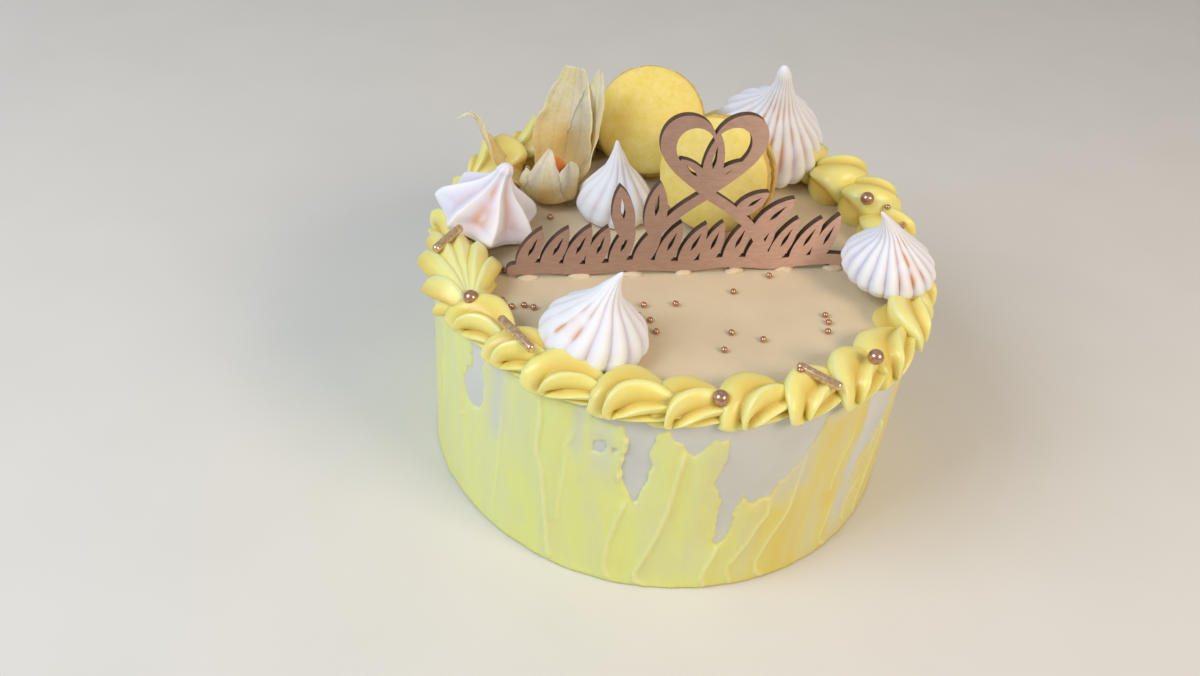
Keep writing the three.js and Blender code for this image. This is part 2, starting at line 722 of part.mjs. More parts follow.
function topperPlate() {
  const pieces = [strip(railPath(), RAIL_WIDTH, 24)];
  for (let s = TOPPER_LEFT + 5; s < TOPPER_RIGHT - 1.5 * LEAF_WIDTH; s += LEAF_STEP) {
    const k = pieces.length;
    const slant = LEAF_SLANT + 5 * uneven(k, 10);
    const length = LEAF_LENGTH * (1 + 0.08 * uneven(k, 9));
    pieces.push(leafCut(s, RAIL_HEIGHT - 2, length, LEAF_WIDTH, slant));
  }
  pieces.push(strip([[-20, 6], [-13, 20], [-4, 31], [6, 39]], 4.6, 6));
  pieces.push(strip([[38, 6], [31, 20], [20, 31], [9, 39]], 4.6, 6));
  for (const leaf of UPPER_LEAVES) pieces.push(leafCut(...leaf));
  pieces.push(heartRing());
  for (const s of TOPPER_FEET) pieces.push(footBlock(s, 0));
  return eased(joined(pieces), FINE_DETAIL);
}

// The whole torte

function finish(name, geometry, color, roughness, metalness = 0) {
  const material = new THREE.MeshStandardMaterial({ color, roughness, metalness });
  const mesh = new THREE.Mesh(geometry, material);
  mesh.name = name;
  return mesh;
}

const torte = new THREE.Group();

const topperPlace = new THREE.Matrix4()
  .makeTranslation(...TOPPER_AT)
  .multiply(new THREE.Matrix4().makeRotationZ(TOPPER_TURN * RAD));
const onTopper = (solid) => solidOf(geometryOf(solid), topperPlace);

const drum = solidOf(cakeDrum(CAKE_RADIUS, CAKE_HEIGHT, CAKE_EDGE, CAKE_SIDES));
const pockets = TOPPER_FEET.map((s) => onTopper(footBlock(s, GAP)));
const cake = cutBy(joined([drum, ...tinyPearls()]), pockets);
torte.add(finish('cake_body', geometryOf(cake), '#d8c6a4', 0.6));
torte.add(finish('yellow_coat', geometryOf(solidOf(yellowCoat())), '#e3e08a', 0.55));

const rooms = [
  ...Object.values(MERINGUES).map(meringueRoom),
  ...Object.values(MACARONS).map(macaronRoom),
  huskRoom(),
];
const trims = [
  ...LARGE_PEARLS.map((at) => ballAt(PEARL_RADIUS, polar(...at), 7, 5)),
  ...RODS.map(rodBetween),
];
torte.add(finish('piped_border', geometryOf(border(trims, rooms)), '#efdc6a', 0.4));

for (const [name, sizes] of Object.entries(MERINGUES)) {
  const kiss = solidOf(meringue(sizes), placeOf(sizes));
  torte.add(finish(name, geometryOf(kiss), '#f3eef0', 0.75));
}

for (const [name, sizes] of Object.entries(MACARONS)) {
  const stand = new THREE.Group();
  stand.applyMatrix4(placeOf(sizes));
  const front = geometryOf(solidOf(macaronShell()));
  const filling = geometryOf(solidOf(macaronFilling()));
  const back = front.clone().rotateX(Math.PI);
  stand.add(finish(`${name}_front_shell`, front, '#f0cf57', 0.85));
  stand.add(finish(`${name}_filling`, filling, '#8a6a48', 0.7));
  stand.add(finish(`${name}_back_shell`, back, '#f0cf57', 0.85));
  torte.add(stand);
}

const [huskX, huskY, huskZ] = HUSK_AT;
const berryAt = [huskX, huskY, huskZ + BERRY_RADIUS + 3.5];
const berryRoom = ballAt(BERRY_RADIUS + GAP, berryAt, 12, 8);
torte.add(finish('physalis_berry', geometryOf(ballAt(BERRY_RADIUS, berryAt, 12, 8)), '#e8863a', 0.3));
torte.add(finish('physalis_husk', geometryOf(physalisHusk([berryRoom])), '#cdbb86', 0.7));

torte.add(finish('topper', geometryOf(onTopper(topperPlate())), '#bd967f', 0.7));

export default torte;
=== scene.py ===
# %% [markdown]
# A round hazelnut torte under buttercream, with a piped border, meringues, macarons, a physalis
# and a wooden topper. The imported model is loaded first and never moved: it gives the true sizes.
# Each step after it makes one visible piece or finish, at the place where the model has it.

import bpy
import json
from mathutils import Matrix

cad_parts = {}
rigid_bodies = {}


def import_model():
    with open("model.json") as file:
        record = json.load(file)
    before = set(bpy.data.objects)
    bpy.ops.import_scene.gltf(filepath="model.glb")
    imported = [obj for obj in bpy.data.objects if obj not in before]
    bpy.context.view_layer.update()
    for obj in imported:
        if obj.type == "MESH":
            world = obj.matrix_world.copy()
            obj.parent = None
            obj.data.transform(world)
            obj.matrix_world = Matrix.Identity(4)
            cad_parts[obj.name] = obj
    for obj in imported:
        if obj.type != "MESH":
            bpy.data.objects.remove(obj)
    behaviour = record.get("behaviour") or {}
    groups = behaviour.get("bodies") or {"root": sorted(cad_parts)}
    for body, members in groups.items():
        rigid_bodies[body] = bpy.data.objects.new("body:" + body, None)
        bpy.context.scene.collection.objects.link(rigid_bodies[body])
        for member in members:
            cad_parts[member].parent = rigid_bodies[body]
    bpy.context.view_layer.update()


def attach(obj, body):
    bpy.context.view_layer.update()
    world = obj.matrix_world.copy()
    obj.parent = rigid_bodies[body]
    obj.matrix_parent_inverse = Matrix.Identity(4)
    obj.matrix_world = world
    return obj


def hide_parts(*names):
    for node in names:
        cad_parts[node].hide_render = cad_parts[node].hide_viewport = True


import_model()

# %% [markdown]
# Cake is measured in millimetres, so every shape below is modelled in millimetres and brought
# to metres once, when it becomes a piece. Buttercream and meringue are never quite even. Two
# repeatable sources of unevenness do for the whole cake: a number for piece i and quality k, and
# a smooth noise in space that looks the same at each run.

# %% Units and unevenness
import json
import cmath
import math

import bmesh
import bpy
import numpy as np
from mathutils import Matrix, Vector

MM = 0.001


def fract(value):
    return value - np.floor(value)


def uneven(i, k):
    """A repeatable number from -1 to 1."""
    return 2 * float(fract(math.sin(i * 12.9898 + k * 78.233) * 43758.5453)) - 1


def noise(points, size, seed=0):
    """Smooth noise from -1 to 1 at an array of points, with features of the given size in mm."""
    q = points / np.broadcast_to(np.array(size, float), (3,)) + 17.3 * seed
    cell = np.floor(q)
    f = (q - cell) ** 2 * (3 - 2 * (q - cell))
    total = 0
    for corner in np.ndindex(2, 2, 2):
        weight = np.prod(np.where(corner, f, 1 - f), axis=1)
        total = total + weight * fract(np.sin((cell + corner) @ (127.1, 311.7, 74.7)) * 43758.5453)
    return 2 * total - 1


def wobble(points, size, seeds):
    """Smooth noise along each of the three axes, from a seed for each."""
    return np.stack([noise(points, size, seed) for seed in seeds], axis=1)


def smooth(low, high, value):
    """0 below low, 1 above high, and an even slope between."""
    t = np.clip((value - low) / (high - low), 0, 1)
    return t * t * (3 - 2 * t)


print("two uneven numbers:", round(uneven(1, 1), 3), round(uneven(2, 1), 3))

# %% [markdown]
# Most pieces start from a bmesh operator: a grid, a sphere, or a profile that is spun. Then one
# rule moves all points at once. A rule may also leave marks, numbers on the points that a
# material can read, such as how deep in a groove a point lies.

# %% Shaping helpers
def moved(bm, rule):
    """Sends all points of a bmesh through a rule, which gives new points and a dict of marks."""
    after, marks = rule(np.array([vert.co for vert in bm.verts]))
    layers = [(bm.verts.layers.float.new(name), values) for name, values in marks.items()]
    for k, vert in enumerate(bm.verts):
        vert.co = after[k]
        for layer, values in layers:
            vert[layer] = values[k]
    return bm


def placed(bm, matrix):
    bmesh.ops.transform(bm, matrix=matrix, verts=bm.verts)
    return bm


def ball(radius, columns, rows):
    bm = bmesh.new()
    bmesh.ops.create_uvsphere(bm, u_segments=columns, v_segments=rows, radius=radius)
    return bm


def grid(columns, rows, half=1):
    bm = bmesh.new()
    bmesh.ops.create_grid(bm, x_segments=columns, y_segments=rows, size=half)
    return bm


def gathered(parts):
    """One bmesh that holds several."""
    whole = bmesh.new()
    for part in parts:
        mesh = bpy.data.meshes.new("part")
        part.to_mesh(mesh)
        part.free()
        whole.from_mesh(mesh)
        bpy.data.meshes.remove(mesh)
    return whole


def spun(profile, steps):
    """A closed body turned about the upright axis from points of radius and height."""
    bm = bmesh.new()
    verts = [bm.verts.new((radius, 0, height)) for radius, height in profile]
    edges = [bm.edges.new(pair) for pair in zip(verts, verts[1:])]
    bmesh.ops.spin(bm, geom=verts + edges, axis=(0, 0, 1), cent=(0, 0, 0),
                   angle=2 * math.pi, steps=steps, use_merge=True)
    bmesh.ops.remove_doubles(bm, verts=bm.verts, dist=1e-5)
    bmesh.ops.recalc_face_normals(bm, faces=bm.faces)
    return bm


def course(points, t):
    """Points along a smooth curve through the given ones, for an array t from 0 to 1."""
    p = np.array(points, float)
    p = np.vstack([2 * p[0] - p[1], p, 2 * p[-1] - p[-2]])
    s = np.clip(t, 0, 1) * (len(p) - 3)
    k = np.minimum(s.astype(int), len(p) - 4)
    f = (s - k)[:, None]
    a, b, c, d = p[k], p[k + 1], p[k + 2], p[k + 3]
    return 0.5 * (2 * b + (c - a) * f + (2 * a - 5 * b + 4 * c - d) * f**2
                  + (3 * b - a - 3 * c + d) * f**3)


def widened(points, grow):
    """Points drawn away from the upright axis by a factor each."""
    return points * np.stack([grow, grow, np.ones_like(grow)], axis=1)


def polar(distance, angle, z):
    """Points from a distance and a compass angle in degrees; numbers or arrays."""
    turn = np.radians(angle)
    across, deep, up = np.broadcast_arrays(distance * np.cos(turn), distance * np.sin(turn), z)
    return np.stack([across, deep, up], axis=-1)


def standing(at, lean=0, towards=0, spin=0):
    """A frame at a point, leaning by an angle towards a compass direction."""
    axis = Vector((-math.sin(math.radians(towards)), math.cos(math.radians(towards)), 0))
    turn = Matrix.Rotation(math.radians(lean), 4, axis)
    return Matrix.Translation(at) @ turn @ Matrix.Rotation(math.radians(spin), 4, "Z")


def piece(name, bm, materials, replaces=()):
    """Stores a bmesh as a piece of the cake, in metres, with its object at the origin."""
    bmesh.ops.scale(bm, vec=(MM, MM, MM), verts=bm.verts)
    for face in bm.faces:
        face.smooth = True
    mesh = bpy.data.meshes.new(name)
    bm.to_mesh(mesh)
    bm.free()
    for material in materials:
        mesh.materials.append(material)
    made = bpy.data.objects.new(name, mesh)
    bpy.context.collection.objects.link(made)
    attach(made, "root")
    if replaces:
        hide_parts(*replaces)
    triangles = sum(len(polygon.vertices) - 2 for polygon in mesh.polygons)
    print(f"{name}: {triangles} triangles, {[round(side / MM, 1) for side in made.dimensions]} mm")
    return made


# %% [markdown]
# A finish is a node tree. Colours are written as hex values, as a colour picker shows them, and
# one function makes them linear for the shader. Another adds a node with its settings and its
# links, so that a tree reads from top to bottom. Pattern scales come from real sizes in mm. Two
# patterns come back in several finishes, clouds of two colours and air pits in cream, so each has
# a function of its own. Where marks add further colours, a loop lays them over one another.

# %% Finish helpers
def linear(colour):
    """The shader's linear colour for an sRGB hex value."""
    channels = [int(colour[k:k + 2], 16) / 255 for k in (1, 3, 5)]
    return [c / 12.92 if c <= 0.04045 else ((c + 0.055) / 1.055) ** 2.4 for c in channels] + [1]


def set_sockets(tree, made, values):
    """Gives each socket of a node a value, or links it to another node's output."""
    for socket, value in values.items():
        if isinstance(value, bpy.types.NodeSocket):
            tree.links.new(value, made.inputs[socket])
        else:
            made.inputs[socket].default_value = value


def node(tree, kind, inputs, **settings):
    """Adds a node with its settings and its sockets."""
    made = tree.nodes.new("ShaderNode" + kind)
    for name, value in settings.items():
        setattr(made, name, value)
    set_sockets(tree, made, inputs)
    return made


def finish(name, *marks):
    """A new material: itself, its tree, its shader, the Object coordinates and the marks it reads."""
    made = bpy.data.materials.new(name)
    made.use_nodes = True
    tree = made.node_tree
    place = node(tree, "TexCoord", {}).outputs["Object"]
    read = [node(tree, "Attribute", {}, attribute_name=mark).outputs["Fac"] for mark in marks]
    return made, tree, tree.nodes["Principled BSDF"], place, *read


def per(size_mm):
    """The scale at which a pattern on Object coordinates has features of that size."""
    return 1 / (size_mm * MM)


def inner_light(share, reach, depth_mm):
    """Shader values for the light that goes into a soft finish, with its reach by channel."""
    return {"Subsurface Weight": share, "Subsurface Radius": reach,
            "Subsurface Scale": depth_mm * MM}


def clouded(tree, place, size_mm, colours, edges=(0, 1), detail=3, rough=0.5):
    """Two sRGB colours that change in soft clouds, and the clouds themselves for a relief."""
    clouds = node(tree, "TexNoise", {"Vector": place, "Scale": per(size_mm), "Detail": detail,
                                     "Roughness": rough}).outputs["Fac"]
    share = node(tree, "MapRange", {0: clouds, 1: edges[0], 2: edges[1]}).outputs[0]
    colour = node(tree, "Mix", {0: share, 6: linear(colours[0]), 7: linear(colours[1])},
                  data_type="RGBA").outputs[2]
    return colour, clouds


def pitted(tree, place, fine, pit_mm, edges, strength, depth_mm):
    """A fine relief with small air pits in it, as whipped cream has, made a bump."""
    pits = node(tree, "TexVoronoi", {"Vector": place, "Scale": per(pit_mm)}).outputs["Distance"]
    pit = node(tree, "MapRange", {0: pits, 1: edges[0], 2: edges[1]}).outputs[0]
    relief = node(tree, "Math", {0: fine, 1: pit}, operation="ADD").outputs[0]
    return node(tree, "Bump", {"Height": relief, "Strength": strength,
                               "Distance": depth_mm * MM}).outputs[0]


print("a pattern of 2 mm has the scale", per(2))

# %% [markdown]
# The camera stands where the photograph was taken from: a little above the cake, looking down,
# and turned slightly about its own axis. A wide focal length gives the strong perspective. The
# light is a large cool window on the left and a weak warm lamp on the right.

# %% Camera, floor and light
PHOTO_WIDTH = 1200
FOCAL_PIXELS = 1100
SENSOR_WIDTH = 36
CAMERA_AT = Vector((-31.05, -405.45, 370.9))
LOOK_DOWN = 38.77
CAMERA_ROLL = 5.58
LIGHTS_LOOK_AT = Vector((0, 0, 0.09))
FLOOR_HALF = 3

scene = bpy.context.scene
camera = bpy.data.objects.new("camera", bpy.data.cameras.new("camera"))
camera.data.sensor_width = SENSOR_WIDTH
camera.data.lens = SENSOR_WIDTH * FOCAL_PIXELS / PHOTO_WIDTH
camera.matrix_world = (
    Matrix.Translation(CAMERA_AT * MM)
    @ Matrix.Rotation(math.radians(90 - LOOK_DOWN), 4, "X")
    @ Matrix.Rotation(math.radians(CAMERA_ROLL), 4, "Z")
)
scene.collection.objects.link(camera)
scene.camera = camera
scene.view_settings.view_transform = "Standard"


def soft_light(name, at, size, power, colour):
    """A square of light that looks at the middle of the cake; places and size in metres."""
    lamp = bpy.data.lights.new(name, "AREA")
    lamp.size = size
    lamp.energy = power
    lamp.color = linear(colour)[:3]
    made = bpy.data.objects.new(name, lamp)
    way = LIGHTS_LOOK_AT - Vector(at)
    made.matrix_world = Matrix.Translation(at) @ way.to_track_quat("-Z", "Y").to_matrix().to_4x4()
    scene.collection.objects.link(made)


soft_light("window", at=(-0.85, -0.5, 0.95), size=0.7, power=10.9, colour="#e6f2ff")
soft_light("warm_fill", at=(0.8, -0.6, 0.85), size=0.5, power=7.6, colour="#ffe8cc")
world = bpy.data.worlds.new("studio")
world.use_nodes = True
set_sockets(world.node_tree, world.node_tree.nodes["Background"],
            {"Color": linear("#f4f3f1"), "Strength": 0.42})
scene.world = world

floor_finish, tree, shader, place = finish("matte_painted_studio_floor")
tint = clouded(tree, place, 60, ("#d9d6d1", "#e0ddd9"), detail=2)[0]
set_sockets(tree, shader, {"Base Color": tint, "Roughness": 0.8})

bm = grid(8, 8, FLOOR_HALF)
floor_mesh = bpy.data.meshes.new("floor")
bm.to_mesh(floor_mesh)
bm.free()
floor_mesh.materials.append(floor_finish)
floor = bpy.data.objects.new("floor", floor_mesh)
scene.collection.objects.link(floor)
print("camera lens in mm:", camera.data.lens)

# %% [markdown]
# The cake itself is uncut, so only its coat of hazelnut buttercream shows: greyish cream where
# the side is bare, warmer on top, partly its own tint and partly painted warm light. Spread with
# a palette knife it is smooth, with faint drag marks, small air pits and a soft shine from its fat.
# Light goes a little way into it.

# %% Finish: spread buttercream
SIDE_CREAM = "#d1d2cb"
TOP_CREAM_AND_PAINTED_WARM_LIGHT = "#d8c7a8"


def spread_cream():
    made, tree, shader, place = finish("buttercream_spread_with_a_knife")
    height = node(tree, "SeparateXYZ", {0: place}).outputs["Z"]
    # Above 93 mm the cream turns warmer: partly its own tint, partly painted warm light on the top.
    on_top = node(tree, "MapRange", {0: height, 1: 93 * MM, 2: 95 * MM}).outputs[0]
    cream = node(tree, "Mix", {0: on_top, 6: linear(SIDE_CREAM), 7: linear(TOP_CREAM_AND_PAINTED_WARM_LIGHT)},
                 data_type="RGBA").outputs[2]
    clouds = node(tree, "TexNoise", {"Vector": place, "Scale": per(28), "Detail": 3}).outputs["Fac"]
    shade = node(tree, "MapRange", {0: clouds, 1: 0.35, 2: 0.65, 3: 0.95, 4: 1.04}).outputs[0]
    tone = node(tree, "Mix", {0: 1.0, 6: cream, 7: shade}, data_type="RGBA",
                blend_type="MULTIPLY").outputs[2]
    flat = node(tree, "Mapping", {"Vector": place, "Scale": (1, 1, 7)}).outputs[0]
    drag = node(tree, "TexNoise", {"Vector": flat, "Scale": per(9), "Detail": 5}).outputs["Fac"]
    set_sockets(tree, shader, {
        "Base Color": tone, "Roughness": 0.48, "IOR": 1.46, "Specular IOR Level": 0.4,
        **inner_light(0.12, (1.0, 0.7, 0.4), 2.5),
        "Normal": pitted(tree, place, drag, 4.5, (0.05, 0.13), 0.25, 0.3),
    })
    return made


SPREAD_CREAM = spread_cream()
print("finish:", SPREAD_CREAM.name)

# %% [markdown]
# The drum could be a plain cylinder with a bevel. Here its outline is spun in many steps
# instead, so that the slow waves a knife leaves round the side, and the low hollows on top, are
# true relief. The side radius follows the same two waves as the solid.

# %% Cake drum
CAKE_RADIUS = 106.2
CAKE_HEIGHT = 95.7
CAKE_EDGE = 2.4
SIDE_WOBBLE = 0.35
DRUM_STEPS = 440


def side_radius(turn):
    wave = np.sin(3 * turn + 0.7) + 0.6 * np.sin(7 * turn + 2.1)
    return CAKE_RADIUS + SIDE_WOBBLE * wave


def drum_profile():
    side = [(CAKE_RADIUS, z) for z in np.linspace(0, CAKE_HEIGHT - CAKE_EDGE, 56)]
    edge = [(CAKE_RADIUS - CAKE_EDGE * (1 - math.cos(a)), CAKE_HEIGHT - CAKE_EDGE * (1 - math.sin(a)))
            for a in np.linspace(0, math.pi / 2, 7)[1:]]
    top = [(r, CAKE_HEIGHT) for r in np.linspace(CAKE_RADIUS - CAKE_EDGE, 0, 30)[1:]]
    return [(0, 0)] + side + edge + top


def drum_rule(points):
    turn = np.arctan2(points[:, 1], points[:, 0])
    distance = np.hypot(points[:, 0], points[:, 1])
    on_top = smooth(CAKE_HEIGHT - CAKE_EDGE, CAKE_HEIGHT, points[:, 2])
    knife = 0.16 * noise(points, (26, 26, 5), 1) + 0.07 * noise(points, (6, 6, 1.6), 2)
    grow = (side_radius(turn) + (1 - on_top) * knife) / CAKE_RADIUS
    after = widened(points, grow)
    after[:, 2] += on_top * (distance < CAKE_RADIUS - 4) * 0.22 * noise(points, (34, 12, 20), 3)
    after[:, 2] = np.minimum(after[:, 2], CAKE_HEIGHT)
    return after, {}


piece("cake_drum", moved(spun(drum_profile(), DRUM_STEPS), drum_rule), [SPREAD_CREAM],
      ["cake_body"])

# %% [markdown]
# The second coat is a thin yellow buttercream smeared up the side. Where it is thick it is a
# pale greenish yellow, where it is thin the cream shows through, and it ends in ragged edges
# with a paler lip. Over the front right and the right side it is painted golden: partly its own
# tone and partly painted warm light. The material reads the mark cover, which the shape step
# leaves on each point.

# %% Finish: second coat
COAT_GREENISH = "#e3e88c"
COAT_GOLDEN_AND_PAINTED_WARM_LIGHT = "#e2cd66"
COAT_PALE = "#ecebac"


def smeared_coat():
    made, tree, shader, place, cover, ridge, golden = finish(
        "yellow_buttercream_smeared_thin", "cover", "ridge", "golden")
    tall = node(tree, "Mapping", {"Vector": place, "Scale": (1, 1, 0.13)}).outputs[0]
    bands = node(tree, "TexNoise", {"Vector": tall, "Scale": per(9), "Detail": 4}).outputs["Fac"]
    band = node(tree, "MapRange", {0: bands, 1: 0.35, 2: 0.68, 3: -0.12, 4: 0.18}).outputs[0]
    # golden turns the yellow warmer and darker: painted warm light on the right side, partly the coat's
    # own tone.
    blend = node(tree, "Math", {0: golden, 1: band}, operation="ADD", use_clamp=True).outputs[0]
    yellow = node(tree, "Mix", {0: blend, 6: linear(COAT_GREENISH), 7: linear(COAT_GOLDEN_AND_PAINTED_WARM_LIGHT)},
                  data_type="RGBA").outputs[2]
    paler = node(tree, "Mix", {0: ridge, 6: yellow, 7: linear(COAT_PALE)},
                 data_type="RGBA").outputs[2]
    colour = node(tree, "Mix", {0: cover, 6: linear(SIDE_CREAM), 7: paler},
                  data_type="RGBA").outputs[2]
    hairs = node(tree, "TexNoise", {"Vector": tall, "Scale": per(1.6), "Detail": 3}).outputs["Fac"]
    set_sockets(tree, shader, {
        "Base Color": colour, "Roughness": 0.45, "IOR": 1.46, "Specular IOR Level": 0.45,
        **inner_light(0.15, (1.0, 0.85, 0.35), 2.5),
        "Normal": pitted(tree, place, hairs, 7, (0.04, 0.1), 0.3, 0.25),
    })
    return made


SMEARED_COAT = smeared_coat()
print("finish:", SMEARED_COAT.name)

# %% [markdown]
# The bare patches are drawn as outlines on the unrolled side, by compass angle and height. The
# front ones follow the cake. Those at the back are tongues of the same kind. A point's distance
# from the nearest outline then tells whether it is coated, and how near the ragged edge it is.

# %% Bare patches
ABOVE = 104
FRONT_PATCHES = [
    [(-140.6, ABOVE), (-140.2, 84), (-139.8, 79), (-141.7, 75.5), (-143.4, 68), (-143, 60),
     (-140.4, 57), (-137.2, 60), (-135.7, 66), (-135.7, 77), (-136.2, 85), (-135.6, ABOVE)],
    [(-106.3, 78.5), (-106, 73), (-104.4, 71.5), (-103.4, 74), (-104, 78.5)],
    [(-102.3, 77), (-101.8, 72), (-101.2, 76)],
    [(-107.6, ABOVE), (-106.8, 89), (-103, 87.5), (-99.9, 88.5), (-99.1, 80), (-99.7, 66),
     (-99.4, 60), (-97.6, 55), (-96.3, 48), (-95.5, 51), (-94.3, 58.5), (-93.6, 70),
     (-94.3, 77), (-93.4, 86), (-91.2, 90), (-89.9, 85), (-87.8, 83.5), (-86.6, 79),
     (-85.1, 77), (-83, 83), (-80.5, 86), (-78.6, 86), (-78.1, 78), (-78.8, 69), (-79.6, 62),
     (-78.2, 56.5), (-77.5, 50), (-77.7, 38), (-77.4, 27.5), (-76.7, 26), (-75.2, 29),
     (-74.3, 36), (-74, 43), (-72.9, 54.5), (-71.6, 50.5), (-70.4, 48), (-68.6, 51),
     (-66, 51), (-64.6, 59), (-61.6, 66), (-59, 72), (-57.4, 80), (-56.6, 87), (-54, 91),
     (-49, 92), (-44, 90), (-41.6, 84), (-40.7, 74), (-40.9, 63), (-41.4, 56), (-42.6, 49),
     (-43.4, 43), (-42.4, 39), (-39.5, 42), (-36.8, 47), (-33.4, 49), (-31.4, 54), (-27, 56),
     (-24.6, 64), (-23.4, 75), (-22.4, ABOVE)],
]
BACK_TONGUES = [(-8, 8, 66), (18, 12, 52), (47, 5, 34), (71, 10, 57), (104, 6, 45),
                (131, 12, 63), (-192, 7, 52), (-168, 4, 74)]
COAT_TOP = 92.5


def tongue(middle, half, low):
    share = np.linspace(-1, 1, 17)
    lows = low + (ABOVE - low) * np.abs(share) ** (2.6 + uneven(low, 14))
    return [(middle + half * (u + 0.1 * uneven(k, low)), z + 9 * uneven(k, low + 1) * (1 - u * u))
            for k, (u, z) in enumerate(zip(share, lows))]


def edge_distance(arc, height, outlines):
    """Distance in mm from the nearest outline, positive outside all of them."""
    nearest = np.full(len(arc), 50.0)
    inside = np.zeros(len(arc), bool)
    for outline in outlines:
        corners = np.array([(math.radians(a) * CAKE_RADIUS, z) for a, z in outline])
        near = np.flatnonzero((arc > corners[:, 0].min() - 8) & (arc < corners[:, 0].max() + 8))
        x, y = arc[near], height[near]
        best, odd = nearest[near], inside[near]
        for (ax, ay), (bx, by) in zip(corners, np.roll(corners, -1, axis=0)):
            run = ((x - ax) * (bx - ax) + (y - ay) * (by - ay)) / ((bx - ax)**2 + (by - ay)**2)
            run = np.clip(run, 0, 1)
            best = np.minimum(best, np.hypot(x - ax - run * (bx - ax), y - ay - run * (by - ay)))
            if ay != by:
                crosses = (ay > y) != (by > y)
                odd ^= crosses & (x < ax + (y - ay) * (bx - ax) / (by - ay))
        nearest[near], inside[near] = best, odd
    return np.where(inside, -nearest, nearest)


BARE_PATCHES = FRONT_PATCHES + [tongue(*sizes) for sizes in BACK_TONGUES]
print("bare patches:", len(BARE_PATCHES))

# %% [markdown]
# The knife also left thin raised lines, which slant down to the left and hook to the right at
# the foot. Each is a path of angle and height. Between lines the coat has long shallow waves,
# and in some places it is so thin that it only veils the cream.

# %% Ridges and veils
FRONT_RIDGES = [
    (1.3, [(-118.8, 93), (-118, 80), (-118.5, 70), (-118.7, 60), (-117, 52), (-116.2, 40),
           (-115, 20), (-114.5, 10), (-113.6, 3)]),
    (0.7, [(-110.2, 80), (-112, 70), (-111.7, 56), (-112.6, 40), (-112.9, 26)]),
    (1.1, [(-98.9, 88), (-99.2, 78), (-99.9, 63), (-99.6, 59)]),
    (1.0, [(-97.5, 52), (-99, 40), (-100.6, 24), (-100.9, 12), (-100.3, 5), (-99.2, 1.5)]),
    (1.2, [(-87, 82), (-88.2, 62), (-88.8, 48), (-90.4, 32), (-92.5, 18), (-93.9, 8.5),
           (-93.4, 3.5), (-90.9, 0.8)]),
    (1.2, [(-76.2, 27.5), (-77.2, 19.5), (-78.5, 12), (-78.9, 6.5), (-78, 1)]),
    (0.9, [(-66.1, 50.5), (-66.4, 41), (-68, 35), (-69.6, 26), (-71.7, 17.5), (-73.5, 12.5),
           (-73, 8), (-71.6, 1)]),
    (1.0, [(-59.2, 72), (-60, 56), (-60.9, 40), (-62.7, 32), (-64.8, 22), (-66.2, 12.5),
           (-65.8, 6), (-63.7, 1)]),
    (0.8, [(-45.2, 74), (-46.2, 65), (-47.6, 57), (-48.8, 48), (-48.4, 40)]),
    (0.9, [(-45.9, 32), (-46.7, 21), (-47.4, 12), (-46.9, 6), (-44, 1)]),
    (0.9, [(-33, 34), (-37.2, 28.5), (-39.7, 23), (-39, 12), (-36.5, 6)]),
    (0.6, [(-145.5, 44), (-143.2, 49), (-137, 53)]),
    (0.5, [(-155.5, 66), (-154.4, 45), (-156.5, 26)]),
    (0.5, [(-129, 70), (-129.6, 40), (-131, 14), (-130.4, 4)]),
]
BACK_RIDGES = [
    (0.8 + 0.4 * uneven(k, 11),
     [(a, 74 + 14 * uneven(k, 12)), (a - 1.5, 50), (a - 4, 24), (a - 5.5, 9), (a - 3, 1)])
    for k, a in enumerate(-26 + 12.5 * k + 3 * uneven(k, 13) for k in range(15))
]
VEILS = [(-130.8, 2.4, 52, 94, 0.75), (-109.5, 1.6, 66, 94, 0.5), (-60.5, 3.6, 50, 94, 0.85),
         (-104.5, 2.6, 60, 92, 0.45), (-84, 3, 6, 30, 0.2), (-63, 3, 44, 62, 0.5),
         (-41.5, 3.6, 12, 62, 0.85), (-48, 1.3, 60, 94, 0.35), (-41, 3.5, 2, 12, 0.7),
         (-30, 4, 40, 70, 0.4),
         (-160, 4, 60, 94, 0.35), (-124, 3, 8, 30, 0.15), (-53, 4, 84, 96, 0.7)]


def ridge_marks(arc, height, ridges):
    """How high each point stands on a ridge line, and how far it lies in the swell left of it."""
    crest = np.zeros(len(arc))
    swell = np.zeros(len(arc))
    for size, path in ridges:
        angles, heights = np.array(path[::-1] if path[0][1] > path[-1][1] else path).T
        middle = np.radians(np.interp(height, heights, angles)) * CAKE_RADIUS
        lower = np.radians(np.interp(height - 1, heights, angles)) * CAKE_RADIUS
        away = (arc - middle) / np.hypot(1, middle - lower)
        fade = smooth(heights[0] - 2, heights[0] + 3, height)
        fade = fade * smooth(heights[-1] + 1, heights[-1] - 7, height) * size
        crest = np.maximum(crest, fade * np.exp(-(away / 0.75) ** 2))
        swell += fade * np.exp(-np.abs(away) / 9) * smooth(0.6, -0.6, away)
    return crest, swell


print("ridges:", len(FRONT_RIDGES) + len(BACK_RIDGES))

# %% [markdown]
# The coat is a grid bent round the drum, finer at the front. The rule lifts it off the drum by
# its thickness, and draws it under the drum's surface in the bare patches, so that each ragged
# edge is where two surfaces cut. The rims are then drawn inwards and bridged to close it.

# %% Second coat
COAT_START, COAT_FRONT_END, COAT_END = -205, 15, 155
COAT_FRONT_SHARE = 0.67
COAT_COLUMNS, COAT_ROWS = 770, 116
COAT_FOOT = 0.6
COAT_BODY = 1.0
COAT_UNDER = 0.5
COAT_RIM_RADIUS = CAKE_RADIUS - 1.5
STROKE_SLANT = 0.09


